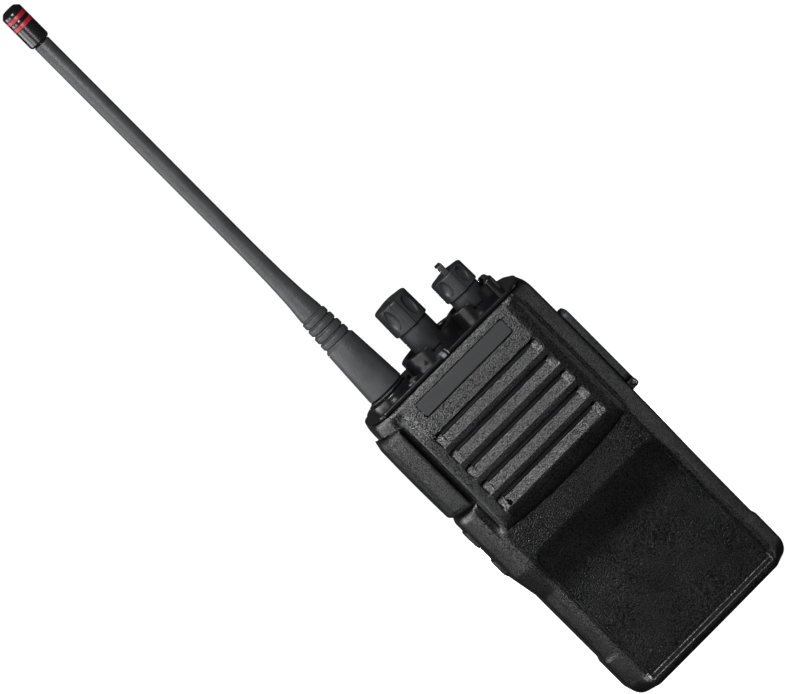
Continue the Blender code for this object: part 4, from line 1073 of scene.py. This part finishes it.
def belt_clip():
    y, z = CLIP_PIN
    bracket = block((-10.0, 58.0), (10.0, 84.0), 2.0, "Y", (18.3, 19.5), 0.1, 0.4, corner_steps=6)
    steps = []
    for side in (-1, 1):
        edges = sorted((side * 10.0, side * 8.4))
        ear = filleted([(19.0, z - 5.5), (y + 2.4, z - 4.0, 2.0), (y + 2.4, z + 4.0, 2.0), (19.0, z + 5.5)])
        steps.append((ADD, pillow(ear, "X", edges, 0.2, 0.2)))
    bore = rod(1.2, (-12.0, 12.0), CLIP_PIN, "X", 24)
    steps.append((CUT, bore))
    for height in BRACKET_SCREWS.values():
        steps.append((CUT, rod(1.4, (17.0, 21.0), (0.0, height), "Y", 16)))
    piece("bracket", bracket, "battery_pack", "trim_black", ("clip_bracket",), steps, sharp=32.0)
    pin = filleted([(0.3, -10.4), (0.9, -10.4, 0.2), (0.9, 10.4, 0.2), (0.3, 10.4)], False)
    piece("hinge_pin", revolved(pin, CLIP_PIN, "X", 24), "battery_pack", "steel", ("clip_pin",))

    side = [
        (26.2, 91.0, 0.5), (25.3, 80.0, 12.0), (25.0, 72.0, 10.0), (25.0, 40.0, 12.0), (24.5, 33.4, 3.0),
        (22.8, 30.2, 2.0), (20.6, 29.6, 0.9), (19.6, 30.7, 0.5), (21.6, 32.1, 1.5), (22.9, 35.2, 3.0),
        (23.2, 40.0, 6.0), (23.2, 73.0, 6.0), (23.4, 80.0, 8.0), (24.6, 91.0, 0.5),
    ]
    lever = pillow(filleted(side, steps=6), "X", (-8.0, 8.0), 0.35, 0.35)
    steps = [
        (ADD, rod(2.0, (-7.95, 7.95), CLIP_PIN, "X", 32)),
        (CUT, block((19.0, z - 2.6), (24.2, z + 2.6), 0.4, "X", (-4.5, 4.5))),
        (CUT, bore),
        (CUT, block((-5.0, 40.0), (5.0, 66.0), 2.0, "Y", (24.6, 27.0), corner_steps=6)),
    ]
    for row in range(5):
        low = 80.5 + 1.9 * row
        groove = block((-6.0, low), (6.0, low + 0.8), 0.4, "Y", (25.2, 27.0), corner_steps=4)
        steps.append((CUT, groove))
    piece("lever", lever, "clip", "trim_black", ("clip_lever",), steps, sharp=32.0)


# ---- carried-over CAD nodes


def carry_over():
    """Gives every CAD node that still shows the finish of its material slot."""
    slots = {row["node"]: row["material_slot"] for row in frame["record"]["subparts"]}
    for name, node in frame["nodes"].items():
        look = LOOKS[slots[name]]
        if not node.material_slots:
            node.data.materials.append(look)
        for place in node.material_slots:
            place.material = look


# ---- stage


def softbox(name, turn, lift, distance, size, power, height=75.0):
    """A square soft light aimed at the radio. Its turn is counted from straight in front, left is negative."""
    turn, lift = math.radians(turn), math.radians(lift)
    way = Vector((math.sin(turn) * math.cos(lift), -math.cos(turn) * math.cos(lift), math.sin(lift)))
    data = bpy.data.lights.new(name, "AREA")
    data.shape = "SQUARE"
    data.size = size
    data.energy = power
    obj = placed(name, data)
    obj.location = Vector((0.0, -0.015, height * MM)) + way * distance
    obj.rotation_euler = (-way).to_track_quat("-Z", "Y").to_euler()


# Each light's name, turn and lift in degrees, distance and size in metres, power, and height it is aimed at.
LIGHTS = (
    ("front_low", -14.0, 28.0, 0.40, 0.08, 0.44),
    ("front_middle", -15.0, 38.0, 0.45, 0.14, 1.10),
    ("front_high", -5.0, 58.0, 0.50, 0.18, 0.05),
    ("left_high", -60.0, 25.0, 0.35, 0.10, 0.13),
    ("left_front", -55.0, 10.0, 0.40, 0.14, 0.10),
    ("left_edge", -75.0, 12.0, 0.40, 0.15, 0.20),
    ("left_side", -100.0, 15.0, 0.45, 0.20, 0.75),
    ("left_foot", -50.0, 0.0, 0.28, 0.08, 0.06, 30.0),
    ("left_base", -90.0, 0.0, 0.28, 0.10, 0.03, 30.0),
    ("right_foot", 65.0, 0.0, 0.28, 0.10, 0.03, 30.0),
    ("right_side", 100.0, -8.0, 0.40, 0.15, 0.068),
    ("rear", 180.0, 0.0, 0.45, 0.05, 0.4, 45.0),
)


def stage():
    half = 6.0
    corners = [(-half, -half, 0.0), (half, -half, 0.0), (half, half, 0.0), (-half, half, 0.0)]
    mesh = bpy.data.meshes.new("floor")
    mesh.from_pydata(corners, [], [(0, 1, 2, 3)])
    mesh.materials.append(FLOOR_LOOK)
    floor = placed("floor", mesh)
    floor.visible_glossy = False
    floor.visible_diffuse = False
    white = (1.0, 1.0, 1.0, 1.0)
    preset(FLOOR_LOOK.node_tree.nodes["Principled BSDF"], Emission_Color=white, Emission_Strength=1.0)

    world = bpy.data.worlds.new("studio")
    bpy.context.scene.world = world
    world.use_nodes = True
    tree = world.node_tree
    dim = tree.nodes["Background"]
    preset(dim, Color=white, Strength=0.03)
    bright = tree.nodes.new("ShaderNodeBackground")
    preset(bright, Color=white, Strength=1.0)
    choice = tree.nodes.new("ShaderNodeMixShader")
    rays = tree.nodes.new("ShaderNodeLightPath")
    link(tree, rays.outputs["Is Camera Ray"], choice.inputs[0], dim.outputs[0], choice.inputs[1])
    surface = tree.nodes["World Output"].inputs["Surface"]
    link(tree, bright.outputs[0], choice.inputs[2], choice.outputs[0], surface)

    for light in LIGHTS:
        softbox(*light)

    view = bpy.context.scene.view_settings
    view.view_transform = "Standard"
    view.look = "None"


def camera():
    """A long lens from a little above, turned on its own axis so that the radio leans to the left."""
    roll, azimuth, elevation = math.radians(44.85), math.radians(-3.0), math.radians(7.5)
    level = math.cos(elevation)
    back = Vector((math.sin(azimuth) * level, -math.cos(azimuth) * level, math.sin(elevation)))
    right = Vector((math.cos(azimuth), math.sin(azimuth), 0.0))
    up = back.cross(right)
    right_rolled = right * math.cos(roll) - up * math.sin(roll)
    up_rolled = right * math.sin(roll) + up * math.cos(roll)
    foot = Vector((0.0, -22.0, 1.0))
    foot_right, foot_below = 88.48, 75.06
    frame_width = 213.3
    target = foot - right_rolled * foot_right + up_rolled * foot_below
    distance = 5000.0
    place = (target + back * distance) * MM
    turn = Matrix((right_rolled, up_rolled, back)).transposed()
    data = bpy.data.cameras.new("camera")
    data.sensor_width = 36.0
    data.lens = data.sensor_width * distance / frame_width
    data.clip_start, data.clip_end = 0.05, 50.0
    obj = placed("camera", data)
    obj.matrix_world = Matrix.Translation(place) @ turn.to_4x4()
    bpy.context.scene.camera = obj


front_housing()
speaker_mesh()
badge_plate()
top_panel()
knobs()
antenna()
talk_button()
side_keys()
jack_cover()
chassis()
screws()
battery()
belt_clip()
carry_over()
stage()
camera()
